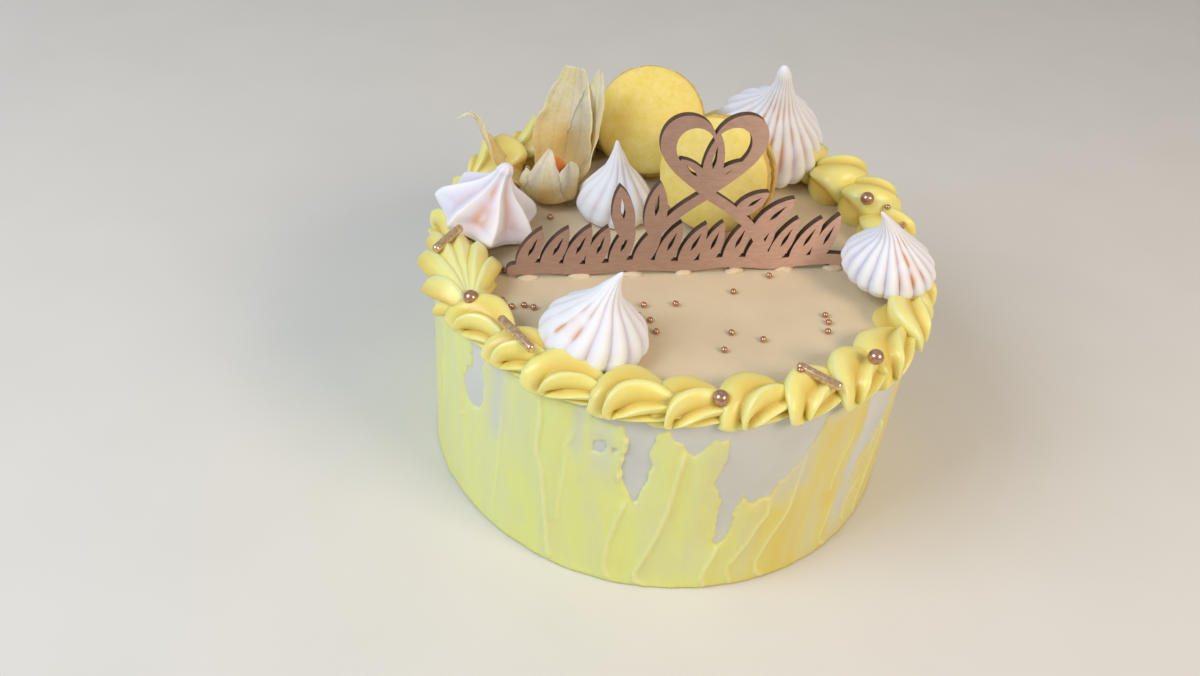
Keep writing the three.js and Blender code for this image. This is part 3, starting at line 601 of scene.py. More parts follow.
def coat_rule(points):
    along = (points[:, 0] + 1) / 2
    angle = np.interp(along, [0, COAT_FRONT_SHARE, 1], [COAT_START, COAT_FRONT_END, COAT_END])
    height = COAT_FOOT + (points[:, 1] + 1) / 2 * (COAT_TOP + 1.5 - COAT_FOOT)
    turn = np.radians(angle)
    arc = turn * CAKE_RADIUS
    space = polar(CAKE_RADIUS, angle, height)
    ragged = 0.7 * noise(space, (2.4, 2.4, 1.5), 1) + 0.8 * noise(space, (8, 8, 5), 2)
    notch = 1.1 * noise(space, (2.2, 2.2, 2.6), 3)
    edge = edge_distance(arc + ragged, height + notch, BARE_PATCHES)
    edge = np.minimum(edge, COAT_TOP + 0.6 * ragged - height)
    on = smooth(-0.7, 0.7, edge)
    lip = np.exp(-(((edge - 0.9) / 0.6) ** 2)) * smooth(-0.3, 0.7, noise(space, (9, 9, 9), 12))

    strokes = polar(CAKE_RADIUS, np.degrees(turn + STROKE_SLANT * height / CAKE_RADIUS), height)
    body = COAT_BODY + 0.3 * noise(strokes, (13, 13, 90), 4) + 0.14 * noise(strokes, (3, 3, 40), 5)
    body = body + 0.12 * noise(space, (9, 9, 7), 6)
    crest, swell = ridge_marks(arc, height, FRONT_RIDGES + BACK_RIDGES)
    foot = np.exp(-height / 3.5) * (0.7 + 0.5 * noise(space, (5, 5, 3), 7))

    cover = 0.86 + 0.2 * noise(strokes, (7, 7, 45), 8) + 0.1 * noise(space, (3, 3, 9), 9)
    thin = np.zeros(len(arc))
    for middle, half, low, high, share in VEILS:
        shape = np.exp(-(((angle - middle) / half) ** 2))
        shape = shape * smooth(low - 6, low + 8, height) * smooth(high + 6, high - 6, height)
        thin = np.maximum(thin, share * shape * (1 + 0.35 * noise(strokes, (3, 3, 22), 10)))
    near = smooth(0.2, 4, edge)
    thickness = on * (COAT_UNDER + body * (1 - 0.75 * thin) * (0.65 + 0.35 * near)
                      + 0.35 * swell + 0.6 * foot)
    thickness = thickness - COAT_UNDER + on * 0.85 * crest + 0.25 * lip
    cover = np.clip(cover * (1 - thin) + 0.5 * crest + 0.3 * foot, 0, 1)
    after = polar(side_radius(turn) + thickness, angle, height)
    # golden by compass angle is painted warm light over the front right and the right side; its clouds
    # and the part at the foot are the coat's own tone.
    golden = smooth(-92, -58, angle) * smooth(60, 0, angle)
    golden = golden + smooth(0.1, 0.6, noise(space, (70, 70, 90), 13)) * smooth(-20, 20, angle)
    golden = np.clip(0.85 * golden + 0.15 * foot - 0.25 * swell, 0, 1)
    return after, {"cover": cover, "ridge": np.clip(0.9 * crest + 0.5 * lip, 0, 1),
                   "golden": golden}


def coat():
    bm = moved(grid(COAT_COLUMNS, COAT_ROWS), coat_rule)
    bmesh.ops.remove_doubles(bm, verts=bm.verts, dist=1e-3)
    rims = [edge for edge in bm.edges if edge.is_boundary]
    drawn = bmesh.ops.extrude_edge_only(bm, edges=rims)["geom"]
    for vert in [part for part in drawn if isinstance(part, bmesh.types.BMVert)]:
        inwards = COAT_RIM_RADIUS / math.hypot(vert.co.x, vert.co.y)
        vert.co.x *= inwards
        vert.co.y *= inwards
    loops = [part for part in drawn if isinstance(part, bmesh.types.BMEdge) and part.is_boundary]
    bmesh.ops.bridge_loops(bm, edges=loops)
    bmesh.ops.recalc_face_normals(bm, faces=bm.faces)
    return bm


piece("second_coat", coat(), [SMEARED_COAT], ["yellow_coat"])

# %% [markdown]
# The border is the same yellow buttercream, stiffer and piped through a star nozzle. Its faces
# are lemon; its thin crests get a pale greenish painted highlight and its grooves an ochre painted
# shade. The mark groove says how deep a point lies.

# %% Finish: piped buttercream
def piped_cream():
    made, tree, shader, place, groove = finish("buttercream_piped_through_a_star_nozzle", "groove")
    colour = clouded(tree, place, 14, ("#eee07c", "#f0e794"), (0.35, 0.65))[0]
    # The crest tint is a painted highlight on the thin crests; the deep tint is painted shade in the
    # grooves.
    crest = node(tree, "MapRange", {0: groove, 1: 0.22, 2: 0.02}).outputs[0]
    deep = node(tree, "MapRange", {0: groove, 1: 0.35, 2: 1.0}).outputs[0]
    for mark, tint in ((crest, "#e9e9a6"), (deep, "#dcbc58")):
        colour = node(tree, "Mix", {0: mark, 6: colour, 7: linear(tint)}, data_type="RGBA").outputs[2]
    fine = node(tree, "TexNoise", {"Vector": place, "Scale": per(1.3), "Detail": 3}).outputs["Fac"]
    set_sockets(tree, shader, {
        "Base Color": colour, "Roughness": 0.3, "IOR": 1.46, "Specular IOR Level": 0.5,
        **inner_light(0.25, (1.0, 0.88, 0.4), 4),
        "Normal": pitted(tree, place, fine, 3.4, (0.06, 0.16), 0.22, 0.25),
    })
    return made


PIPED_CREAM = piped_cream()
print("finish:", PIPED_CREAM.name)

# %% [markdown]
# Each shell of the border is one squeeze of the bag. The nozzle's teeth make flaps with sharp
# crests. They start at a bud low on the outside, wrap round the head in arcs, one inside the
# other, and run together in a tail under the next head. A sphere gives the faces, its meridians
# are the flaps' lines, and one pole becomes the tail. The other pole has to move to the bud: the
# sphere is laid flat from the tail's pole, all points are shifted, and it is closed again.

# %% One piped shell
FLAP_CREST = 11 / 14
SHELL_MIDDLE = 0.32
SHELL_BACK = 0.92
BORDER_REACH = 112.6
REACH_SOFTNESS = 2.8


def flap_rise(share):
    """Height of a flap across its width: 0 in both grooves, and 1 on its sharp crest."""
    rising = np.clip(share / FLAP_CREST, 0, 1)
    falling = np.clip((1 - share) / (1 - FLAP_CREST), 0, 1)
    return np.minimum(rising ** 1.15, falling)


def inside_reach(out):
    """Squeezes distances from the axis so that no cream hangs out further than the reach."""
    free = BORDER_REACH - REACH_SOFTNESS
    past = np.maximum(out - free, 0)
    return np.minimum(out, free) + REACH_SOFTNESS * np.tanh(past / REACH_SOFTNESS)


def shell_rule(shell):
    def rule(points):
        t = np.arccos(np.clip(points[:, 2], -1, 1)) / math.pi
        around = np.arctan2(points[:, 1], points[:, 0]) / (2 * math.pi) % 1
        rise = flap_rise(fract(around * shell["lobes"] + 1e-6))
        swing = around * 2 * math.pi + shell["phase"] + shell["twist"] * t
        flat = np.tan(t * math.pi / 2) * np.exp(1j * swing) + shell["bud"]
        turn, along = np.angle(flat), np.arctan(np.abs(flat)) * 2 / math.pi
        full = 1 - shell["groove"] * smooth(0, 0.1, t) * (1 - 0.25 * t) * (1 - rise)
        r = shell["radius"] * np.sin(math.pi * along ** 0.6) ** 0.55 * full
        along = np.maximum(along, SHELL_MIDDLE - (SHELL_MIDDLE - along) * full)
        tilt = np.clip(1 - along / 0.5, 0, 1) ** 2
        tail = shell["tail"] * np.clip(along / 0.5 - 1, 0, 1) ** 2
        out = inside_reach(shell["ring"] + r * np.cos(turn) + shell["outward"] * tilt + tail)
        high = np.where(np.sin(turn) > 0, SHELL_BACK, shell["belly"]) * r * np.sin(turn)
        z = CAKE_HEIGHT + shell["lift"] * (1 - 0.5 * along) - shell["drop"] * tilt + high
        after = polar(out, shell["head"] + shell["span"] * along, z)
        after += 0.22 * wobble(after, 6, (1, 2, 3))
        return after, {"groove": (1 - rise) * smooth(0, 0.12, t)}
    return rule


def piped_shell(shell, columns, rows):
    return moved(ball(1, columns, rows), shell_rule(shell))


print("flap heights:", flap_rise(np.array([0.0, 0.35, 0.7, 0.85])).round(2))

# %% [markdown]
# On the left the bag was held still and drew one large star: its petals run out from under a
# pearl, widen and end in blunt tips. Each is a stretched sphere with a crest along its top.

# %% Star of petals
STAR_AT = (102.3, -144.4, 100.5)
STAR_PETALS = [
    ((112, -152.5, 93.5), 9, 0.5), ((112, -159, 97), 13, 3), ((111.5, -168.5, 98.5), 13, 3.5),
    ((108, -175, 100.5), 12, 4), ((99, -175, 102), 11, 4), ((88.5, -171, 100.5), 10, 5.5),
    ((81.5, -165.5, 97), 10, 5.5), ((86, -156, 96.8), 8.5, 4),
]


def petal(tip, width, arch):
    start, end = Vector(polar(*STAR_AT)), Vector(polar(*tip))
    way = np.array(end - start)
    side = np.array((end - start).cross((0, 0, 1)).normalized())

    def rule(points):
        t = np.arccos(np.clip(points[:, 2], -1, 1)) / math.pi
        turn = np.arctan2(points[:, 1], points[:, 0])
        taper = 1.9 * (t + 0.05) ** 0.65 * (1 - t) ** 0.36
        tent = 0.75 * (1 - np.abs(np.cos(turn))) + 0.25 * np.sin(turn)
        across = width / 2 * taper * np.cos(turn)
        up = width * taper * np.where(np.sin(turn) > 0, 0.48 * tent, 0.28 * np.sin(turn))
        up = up + arch * 4 * t * (1 - t)
        after = np.array(start) + t[:, None] * way + across[:, None] * side
        after[:, 2] += up
        after += 0.3 * wobble(after, 6, (4, 5, 6))
        return after, {"groove": np.abs(np.cos(turn)) ** 1.4 * 0.9}
    return moved(ball(1, 28, 30), rule)


print("petals:", len(STAR_PETALS))

# %% [markdown]
# Twenty-five uneven shells follow the top edge head to tail. Those along the back are taller, and
# their undersides are deeper too, so that they still rest on the cake. Where the star lies, two
# of the twenty-seven places stay free, and a low core of cream fills it.

# %% Piped border
SHELL_COUNT = 27
SHELL_PITCH = 360 / SHELL_COUNT
SHELL_FIRST = -96.5
SHELL_RING, SHELL_RADIUS = 99.6, 13.2
SHELL_LIFT, SHELL_TALL = 2.4, 9
SHELL_REACH = 1.58
SHELL_LOBES, SHELL_GROOVE, SHELL_TWIST = 7, 0.48, 0.3
SHELL_BUD = cmath.rect(0.55, -0.75)
SHELL_BELLY = 0.42
SHELL_HEAD_OUT, SHELL_HEAD_DROP, SHELL_TAIL_OUT = 5, 3.5, 4
SHELL_COLUMNS, SHELL_ROWS = 98, 37
STAR_PLACES = (21, 22)
STAR_CORE = {"head": -180, "span": 36, "ring": 98.5, "radius": 10.5, "lift": 0, "groove": 0.2,
             "bud": 0, "outward": 0, "drop": 0, "tail": 0}


def shell_sizes(i):
    place = SHELL_PITCH * i
    tall = float(smooth(98, 122, place) * smooth(256, 240, place))
    radius = SHELL_RADIUS * (1 + 0.06 * uneven(i, 3) + 0.22 * tall)
    return {
        "head": SHELL_FIRST + place + 1.2 * uneven(i, 1) - 3 * tall,
        "span": SHELL_PITCH * (SHELL_REACH - 0.22 * tall), "ring": SHELL_RING + uneven(i, 2),
        "radius": radius, "belly": SHELL_BELLY + SHELL_TALL * tall / radius,
        "lift": SHELL_LIFT + 0.8 * uneven(i, 4) + SHELL_TALL * tall,
        "lobes": SHELL_LOBES, "groove": SHELL_GROOVE - 0.14 * tall,
        "twist": SHELL_TWIST * (1 + 0.4 * uneven(i, 5)), "phase": -0.2 + 0.2 * uneven(i, 6),
        "bud": SHELL_BUD, "outward": SHELL_HEAD_OUT, "drop": SHELL_HEAD_DROP,
        "tail": SHELL_TAIL_OUT,
    }


def border():
    kept = [shell_sizes(i) for i in range(SHELL_COUNT) if i not in STAR_PLACES]
    core = {**shell_sizes(STAR_PLACES[0]), **STAR_CORE}
    shells = [piped_shell(shell, SHELL_COLUMNS, SHELL_ROWS) for shell in kept + [core]]
    return gathered(shells + [petal(*sizes) for sizes in STAR_PETALS])


piece("piped_shells", border(), [PIPED_CREAM], ["piped_border"])

# %% [markdown]
# Sugar pearls are coated with an edible copper lustre, and sugar rods with a paler gold one. Both
# behave like a metal with a slightly rough skin, so one function gives them a metal's shader, with
# faint clouds where the powder is thicker.

# %% Finishes: copper and gold lustre
def lustre(name, thin, thick):
    made, tree, shader, place = finish(name)
    colour, clouds = clouded(tree, place, 1.2, (thin, thick), (0.4, 0.65), detail=4)
    bump = node(tree, "Bump", {"Height": clouds, "Strength": 0.25, "Distance": 0.1 * MM})
    set_sockets(tree, shader, {"Base Color": colour, "Metallic": 0.75, "Roughness": 0.24,
                               "Normal": bump.outputs[0]})
    return made


COPPER_LUSTRE = lustre("sugar_coated_with_copper_lustre", "#b58a70", "#d0a88f")
GOLD_LUSTRE = lustre("sugar_coated_with_pale_gold_lustre", "#d0a983", "#ecd2aa")
print("finishes:", COPPER_LUSTRE.name, GOLD_LUSTRE.name)

# %% [markdown]
# Tiny pearls lie loose on the top, large ones and short rods on the border. A pearl is a sphere
# pressed a little out of round. A rod is a short cylinder whose end edges are bevelled until
# they are round.

# %% Pearls and rods
TINY_PEARL_RADIUS = 1.35
TINY_PEARLS = [
    (85.7, -148), (86.2, -145), (84, -144.2), (79.1, -143.2), (76.5, -140.9), (41.9, -110),
    (49.4, -109.4), (50.5, -103), (57, -98.8), (36.3, -91.6), (78.1, -161.9), (40.8, -12.9),
    (33.5, -45.1), (56.6, -67.2), (64.8, -57.5), (66.5, -73.7), (70.8, -28.8), (74, -31.7),
    (76.7, -36), (62.6, 161), (27.4, 155.2), (22.6, 54.9),
]
BORDER_TINY_PEARLS = [(97, -62.3, 108.4), (101.2, 20.4, 110.5)]
PEARL_RADIUS = 3.15
TINY_MESH, LARGE_MESH = (18, 12), (36, 22)
PEARL_STRETCH = (1, 1.03, 0.97)
LARGE_PEARLS = [(101.4, -145.7, 105.4), (102.4, -81.4, 104), (105.1, -44.1, 108),
                (91.8, 22.6, 113.9)]
ROD_RADIUS = 1.9
ROD_ROUNDING = 0.86 * ROD_RADIUS
RODS = [((107.9, -162, 109.6), (95.6, -170.6, 110.8)), ((100.4, -134.5, 108), (105, -121.9, 108)),
        ((93.8, -61.9, 108), (109.6, -56.3, 106)), ((108.8, 17.6, 106), (98.3, 9.5, 105.5))]


def pearl(radius, at, mesh):
    bm = ball(radius, *mesh)
    bmesh.ops.scale(bm, vec=PEARL_STRETCH, verts=bm.verts)
    return placed(bm, Matrix.Translation(at))


def rod(ends):
    a, b = (Vector(polar(*end)) for end in ends)
    bm = bmesh.new()
    bmesh.ops.create_cone(bm, cap_ends=True, segments=28, radius1=ROD_RADIUS, radius2=ROD_RADIUS,
                          depth=(b - a).length)
    rims = [edge for edge in bm.edges if len({round(v.co.z, 3) for v in edge.verts}) == 1]
    bmesh.ops.bevel(bm, geom=rims, offset=ROD_ROUNDING, affect="EDGES", segments=7,
                    profile=0.5, material=-1)
    turn = (b - a).to_track_quat("Z", "Y").to_matrix().to_4x4()
    return placed(bm, Matrix.Translation((a + b) / 2) @ turn)


tiny_z = CAKE_HEIGHT + 0.8 * TINY_PEARL_RADIUS
on_top = [pearl(TINY_PEARL_RADIUS, polar(r, a, tiny_z), TINY_MESH) for r, a in TINY_PEARLS]
piece("tiny_pearls", gathered(on_top), [COPPER_LUSTRE], replaces=["cake_body"])
on_border = [pearl(PEARL_RADIUS, polar(*at), LARGE_MESH) for at in LARGE_PEARLS]
on_border += [pearl(TINY_PEARL_RADIUS, polar(*at), TINY_MESH) for at in BORDER_TINY_PEARLS]
piece("large_pearls", gathered(on_border), [COPPER_LUSTRE], replaces=["piped_border"])
piece("sugar_rods", gathered([rod(ends) for ends in RODS]), [GOLD_LUSTRE],
      replaces=["piped_border"])

# %% [markdown]
# Meringue is egg white and sugar, piped and dried. It is matt and almost white, lilac in the
# shade of its grooves, and here and there toasted to a pale orange brown. The marks groove and
# toast say where.

# %% Finish: dried meringue
def dried_meringue():
    made, tree, shader, place, groove, toast = finish("meringue_piped_and_dried", "groove", "toast")
    colour = linear("#eff1f6")
    for mark, tint in ((groove, "#dcd8e8"), (toast, "#d7934f")):
        colour = node(tree, "Mix", {0: mark, 6: colour, 7: linear(tint)}, data_type="RGBA").outputs[2]
    grain = node(tree, "TexNoise", {"Vector": place, "Scale": per(0.9), "Detail": 4}).outputs["Fac"]
    bump = node(tree, "Bump", {"Height": grain, "Strength": 0.25, "Distance": 0.2 * MM})
    set_sockets(tree, shader, {
        "Base Color": colour, "Roughness": 0.62, "IOR": 1.45, "Specular IOR Level": 0.35,
        **inner_light(0.2, (1.0, 0.9, 0.85), 3), "Normal": bump.outputs[0],
    })
    return made


DRIED_MERINGUE = dried_meringue()
print("finish:", DRIED_MERINGUE.name)

# %% [markdown]
# A meringue kiss is a spun outline, wide at the foot and drawn up to a tip, whose sides are
# waved by the nozzle's teeth. Round lobes with narrow grooves need a wave like the root of a
# cosine; the blades of the left one need a zigzag with sharp crests. Each kiss has its own lean
# and tip. A toasted or a plain stretch is written as its compass angle, half width and strength.

# %% Meringues
KISS_OUTLINE = [(0, 0), (0.8, 0), (0.97, 0.07), (1, 0.16), (0.9, 0.3), (0.64, 0.46),
                (0.34, 0.63), (0.13, 0.85), (0.045, 0.97), (0, 1)]
KISS_STEPS, BLADE_COLUMNS, LOBE_COLUMNS = 70, 24, 14
KISS = dict(lean=0, towards=0, spin=0, sharp=False, blunt=0, waist=0, plain=(90, 50, 0))
MERINGUES = {
    "meringue_front_left": dict(
        KISS, at=(-34, -69, 97.4), lean=4, radius=22, height=36.5, lobes=14, groove=0.14,
        twist=0.5, tip=6.5, tip_to=0, plain=(-155, 45, 0.85), toasted=(-132, 26, 1.3)),
    "meringue_left": dict(
        KISS, at=(-87, 5, 103), lean=16, towards=-10, spin=12, radius=24, height=30, lobes=7,
        groove=0.36, twist=0.15, tip=2, tip_to=20, sharp=True, blunt=0.07,
        toasted=(-100, 50, 0.95)),
    "meringue_back_left": dict(
        KISS, at=(-30, 32, 96.2), spin=5, radius=18.4, height=37, lobes=13, groove=0.16,
        twist=0.35, tip=2, tip_to=180, plain=(-150, 40, 0.7), toasted=(-150, 40, 0.25)),
    "meringue_right": dict(
        KISS, at=(89, -9, 104), lean=6, towards=-60, radius=20.5, height=33, lobes=18,
        groove=0.14, twist=-0.3, tip=12, tip_to=190, blunt=0.01, toasted=(-62, 26, 1.5)),
    "meringue_back_right": dict(
        KISS, at=(41, 86.3, 109.9), lean=27, towards=-82, radius=30, height=54, lobes=19,
        groove=0.15, twist=0.2, tip=6, tip_to=130, blunt=0.035, waist=0.2,
        toasted=(-105, 60, 1.4)),
}


def turned(turn, middle):
    """Degrees from a compass direction, from -180 to 180."""
    return (np.degrees(turn) - middle + 180) % 360 - 180


def kiss_rule(sizes, seed):
    def rule(points):
        turn = np.arctan2(points[:, 1], points[:, 0])
        h = points[:, 2]
        swung = turn + sizes["twist"] * h
        phase = sizes["lobes"] / 2 * (turn + math.pi / 2)
        crest = 1 - np.abs(np.sin(phase)) if sizes["sharp"] else np.abs(np.cos(phase)) ** 0.7
        middle, half, share = sizes["plain"]
        plain = share * np.exp(-((turned(swung, middle) / half) ** 2))
        fade = np.minimum(1, 3 * h + 0.35) * (1 - 0.5 * h) * (1 - plain)
        slim = 1 - sizes["waist"] * 4 * h * (1 - h)
        body = slim * (1 - sizes["groove"] * fade * (1 - crest))
        outline = np.hypot(points[:, 0], points[:, 1])
        knob = sizes["blunt"] * np.exp(-(((h - 0.93) / 0.08) ** 2)) * smooth(0, 0.04, outline)
        r = sizes["radius"] * (outline * body + knob)
        bend = sizes["tip"] * h ** 3
        after = polar(r, np.degrees(swung), h * sizes["height"]) + polar(bend, sizes["tip_to"], 0)
        after += smooth(0.02, 0.2, h)[:, None] * 0.25 * wobble(after, 7, range(seed + 1, seed + 4))
        middle, half, share = sizes["toasted"]
        away = turned(swung, middle)
        where = np.exp(-((away / half) ** 2)) * smooth(0.12, 0.3, h) * smooth(0.85, 0.5, h)
        spots = smooth(-1.4 if sizes["sharp"] else -0.6, 0.4, noise(after, (3, 3, 12), seed + 5))
        streaks = (1 - crest) ** (4 if sizes["sharp"] else 1.6)
        toast = np.clip(share * where * spots * (0.1 + 0.9 * streaks), 0, 1)
        return after, {"groove": np.clip((1 - crest) * fade * 1.5, 0, 1), "toast": toast}
    return rule


for seed, (name, sizes) in enumerate(MERINGUES.items()):
    profile = np.clip(course(KISS_OUTLINE, np.linspace(0, 1, KISS_STEPS)), 0, None)
    profile[[0, -1], 0] = 0
    columns = sizes["lobes"] * (BLADE_COLUMNS if sizes["sharp"] else LOBE_COLUMNS)
    kiss = moved(spun(profile, columns), kiss_rule(sizes, 10 * seed))
    where = standing(sizes["at"], sizes["lean"], sizes["towards"], sizes["spin"])
    piece(name + "_kiss", placed(kiss, where), [DRIED_MERINGUE], [name])

# %% [markdown]
# A macaron has two almond shells with a smooth domed face and a ruffled foot, and a nut filling
# between. The face is matt, mottled yellow with fine pits. The foot is a crumbly lace, so it is
# true relief: a spun outline with noise across the foot's height.

# %% Finishes: almond shell and nut filling
def almond_shell():
    made, tree, shader, place, foot = finish("baked_almond_macaron_shell", "foot")
    colour = clouded(tree, place, 5, ("#ecd26a", "#f3df8c"), (0.35, 0.68), detail=6, rough=0.65)[0]
    specks = node(tree, "TexVoronoi", {"Vector": place, "Scale": per(3.2)}).outputs["Distance"]
    speck = node(tree, "MapRange", {0: specks, 1: 0.13, 2: 0.07}).outputs[0]
    faint = node(tree, "Math", {0: speck, 1: 0.35}, operation="MULTIPLY").outputs[0]
    for mark, tint in ((faint, "#c98a3c"), (foot, "#d6b460")):
        colour = node(tree, "Mix", {0: mark, 6: colour, 7: linear(tint)}, data_type="RGBA").outputs[2]
    grain = node(tree, "TexNoise", {"Vector": place, "Scale": per(0.7), "Detail": 4}).outputs["Fac"]
    bump = node(tree, "Bump", {"Height": grain, "Strength": 0.45, "Distance": 0.3 * MM})
    set_sockets(tree, shader, {
        "Base Color": colour, "Roughness": 0.75, "Specular IOR Level": 0.3,
        **inner_light(0.08, (1.0, 0.7, 0.3), 2), "Normal": bump.outputs[0],
    })
    return made


def nut_filling():
    made, tree, shader, place = finish("whipped_nut_ganache")
    colour, clouds = clouded(tree, place, 1.8, ("#6b5338", "#94784f"), (0.35, 0.65), detail=5)
    bump = node(tree, "Bump", {"Height": clouds, "Strength": 0.6, "Distance": 0.5 * MM})
    set_sockets(tree, shader, {"Base Color": colour, "Roughness": 0.6, "Normal": bump.outputs[0]})
    return made


ALMOND_SHELL, NUT_FILLING = almond_shell(), nut_filling()
print("finishes:", ALMOND_SHELL.name, NUT_FILLING.name)

# %% [markdown]
# Both shells of a macaron come from one outline, spun about its axis and turned over for the back.
# The foot's outline and the dome's are two smooth curves that meet in a crease, and the filling is
# a flat disc with a rough rim. Each macaron leans back on the cake in its own direction.

# %% Macarons
MACARON_RADIUS = 26.5
MACARON_DOME = 9.2
MACARON_FILLING = 4.6
MACARON_GAP = 0.35
MACARONS = {
    "macaron_back": dict(at=(-17, 76, 120.6), lean=55, towards=-96),
    "macaron_front": dict(at=(14.5, 29.5, 122.3), lean=72, towards=-117),
}
BASE = MACARON_FILLING / 2 + MACARON_GAP
ALMOND_STEPS, FILLING_STEPS = 200, 160
TURNED_OVER = Matrix.Rotation(math.pi, 4, "X")


def almond_rule(seed):
    def rule(points):
        foot = smooth(BASE + 4.2, BASE + 2.8, points[:, 2])
        ruffle = 0.5 * noise(points, (1.7, 1.7, 1.3), seed) + 0.25 * noise(points, 0.8, seed + 1)
        grow = 1 + foot * ruffle / MACARON_RADIUS * smooth(0.6, 0.9, np.hypot(
            points[:, 0], points[:, 1]) / MACARON_RADIUS)
        after = widened(points, grow)
        dome = (1 - foot) * (0.18 * noise(points, 6, seed + 2) + 0.07 * noise(points, 1.6, seed + 3))
        after[:, 2] += dome
        return after, {"foot": foot}
    return rule


def shell_outline():
    r = MACARON_RADIUS
    foot = [(0, BASE), (r * 0.6, BASE), (r - 1.6, BASE), (r - 0.5, BASE + 0.5), (r - 0.2, BASE + 1.3),
            (r - 0.7, BASE + 2.3), (r - 1.1, BASE + 3.0)]
    dome = [(r - 1.1, BASE + 3.0), (r - 1.2, BASE + 4.4), (r * 0.86, BASE + 6.3),
            (r * 0.68, BASE + 7.9), (r * 0.4, BASE + 9.0), (0, BASE + MACARON_DOME)]
    line = np.vstack([course(foot, np.linspace(0, 1, 34)), course(dome, np.linspace(0, 1, 40))[1:]])
    line[[0, -1], 0] = 0
    return np.clip(line, 0, None)


def filling_outline():
    half, wide = MACARON_FILLING / 2, MACARON_RADIUS - 1.6
    line = course([(0, -half), (wide * 0.7, -half), (wide - 0.8, -half), (wide, 0),
                   (wide - 0.8, half), (wide * 0.7, half), (0, half)], np.linspace(0, 1, 40))
    line[[0, -1], 0] = 0
    return line


def filling_rule(points):
    rim = smooth(0.6, 0.95, np.hypot(points[:, 0], points[:, 1]) / MACARON_RADIUS)
    grow = 1 + rim * 0.9 * noise(points, (2.2, 2.2, 1.5), 40) / MACARON_RADIUS
    return widened(points, grow), {}


for k, (name, stand) in enumerate(MACARONS.items()):
    where = standing(**stand)
    for look, solid, at, seed in (("_face", "_front_shell", where, 50),
                                  ("_rear", "_back_shell", where @ TURNED_OVER, 55)):
        almond = moved(spun(shell_outline(), ALMOND_STEPS), almond_rule(seed + 10 * k))
        piece(name + look, placed(almond, at), [ALMOND_SHELL], [name + solid])
    ganache = moved(spun(filling_outline(), FILLING_STEPS), filling_rule)
    piece(name + "_ganache", placed(ganache, where), [NUT_FILLING],
          [name + "_filling"])

# %% [markdown]
# A physalis is an orange berry in a husk of dry papery leaves. The berry is tight-skinned and
# glossy. The husk lets light through. It is pale yellow, golden near its foot, amber low in the
# middle and silvery along one side, and has a net of fine veins that stand out of the sheet.

# %% Finishes: physalis
def berry_skin():
    made, tree, shader, place = finish("physalis_berry_skin")
    colour = clouded(tree, place, 6, ("#e2701c", "#f09a34"))[0]
    set_sockets(tree, shader, {"Base Color": colour, "Roughness": 0.22, "Coat Weight": 0.3,
                               **inner_light(0.3, (1.0, 0.45, 0.15), 3)})
    return made


def dry_husk():
    tints = {"amber": "#c8984f", "film": "#c3b9ac", "foot": "#ddb165", "rib": "#b48f4e"}
    made, tree, shader, place, *marks = finish("dried_papery_physalis_husk", *tints)
    colour = clouded(tree, place, 12, ("#e8d9a2", "#f8efca"), (0.38, 0.62), detail=4)[0]
    for mark, tint in zip(marks, tints.values()):
        colour = node(tree, "Mix", {0: mark, 6: colour, 7: linear(tint)}, data_type="RGBA").outputs[2]
    net = node(tree, "TexVoronoi", {"Vector": place, "Scale": per(2.6)},
               feature="DISTANCE_TO_EDGE").outputs["Distance"]
    vein = node(tree, "MapRange", {0: net, 1: 0.0, 2: 0.08, 3: 1.0, 4: 0.0}).outputs[0]
    bump = node(tree, "Bump", {"Height": vein, "Strength": 0.4, "Distance": 0.25 * MM})
    set_sockets(tree, shader, {
        "Base Color": colour, "Roughness": 0.55, "Specular IOR Level": 0.35,
        **inner_light(0.5, (1.0, 0.8, 0.5), 4), "Normal": bump.outputs[0],
    })
    return made


BERRY_SKIN, DRY_HUSK = berry_skin(), dry_husk()
print("finishes:", BERRY_SKIN.name, DRY_HUSK.name)

# %% [markdown]
# Each husk leaf is a grid bent round the husk's axis along a smooth path, and given a thin
# thickness by Solidify. Ribs run up it and stand out, and its rim is crinkled, as dry leaves
# shrink between their veins. The berry sits low inside them.

# %% Physalis
BERRY_RADIUS = 8.6
HUSK_AT = Vector((-61, 38, 96.6))
BERRY_LIFT = 12.1
HUSK_THICKNESS = 0.35
HUSK_LEAVES = [
    (-103, 13, [(2.4, 0, 6), (12, 4, 27), (13.8, 10, 27), (12.6, 16, 18), (8.5, 22, 9), (3, 27, 1)]),
    (-32, 13, [(2.4, 0, 6), (11.4, 4, 24), (13, 10, 24), (12.6, 15, 19), (11.5, 19, 12), (10, 22, 3)]),
    (-166, 13, [(2.4, 0, 6), (11.4, 4, 24), (13, 8, 24), (12.9, 11, 19), (12.4, 14, 12), (11.5, 16, 3)]),
    (74, 26, [(2.4, 0, 6), (14, 9, 26), (19, 23, 33), (22, 35, 28), (24, 46, 19), (25.5, 55, 8)]),
    (47, 26, [(2.4, 0, 6), (15, 9, 18), (20, 20, 22), (23, 32, 19), (25, 44, 13), (27, 57, 2)]),
    (180, 16, [(2.4, 0, 6), (16, 8, 12), (26.4, 18.4, 13), (29.2, 26, 9.5), (31.6, 31, 6),
               (34, 36.5, 5), (38.5, 39.5, 4), (44, 35.5, 1)]),
]
RIBS = 5
LEAF_COLUMNS, LEAF_ROWS = 36, 56


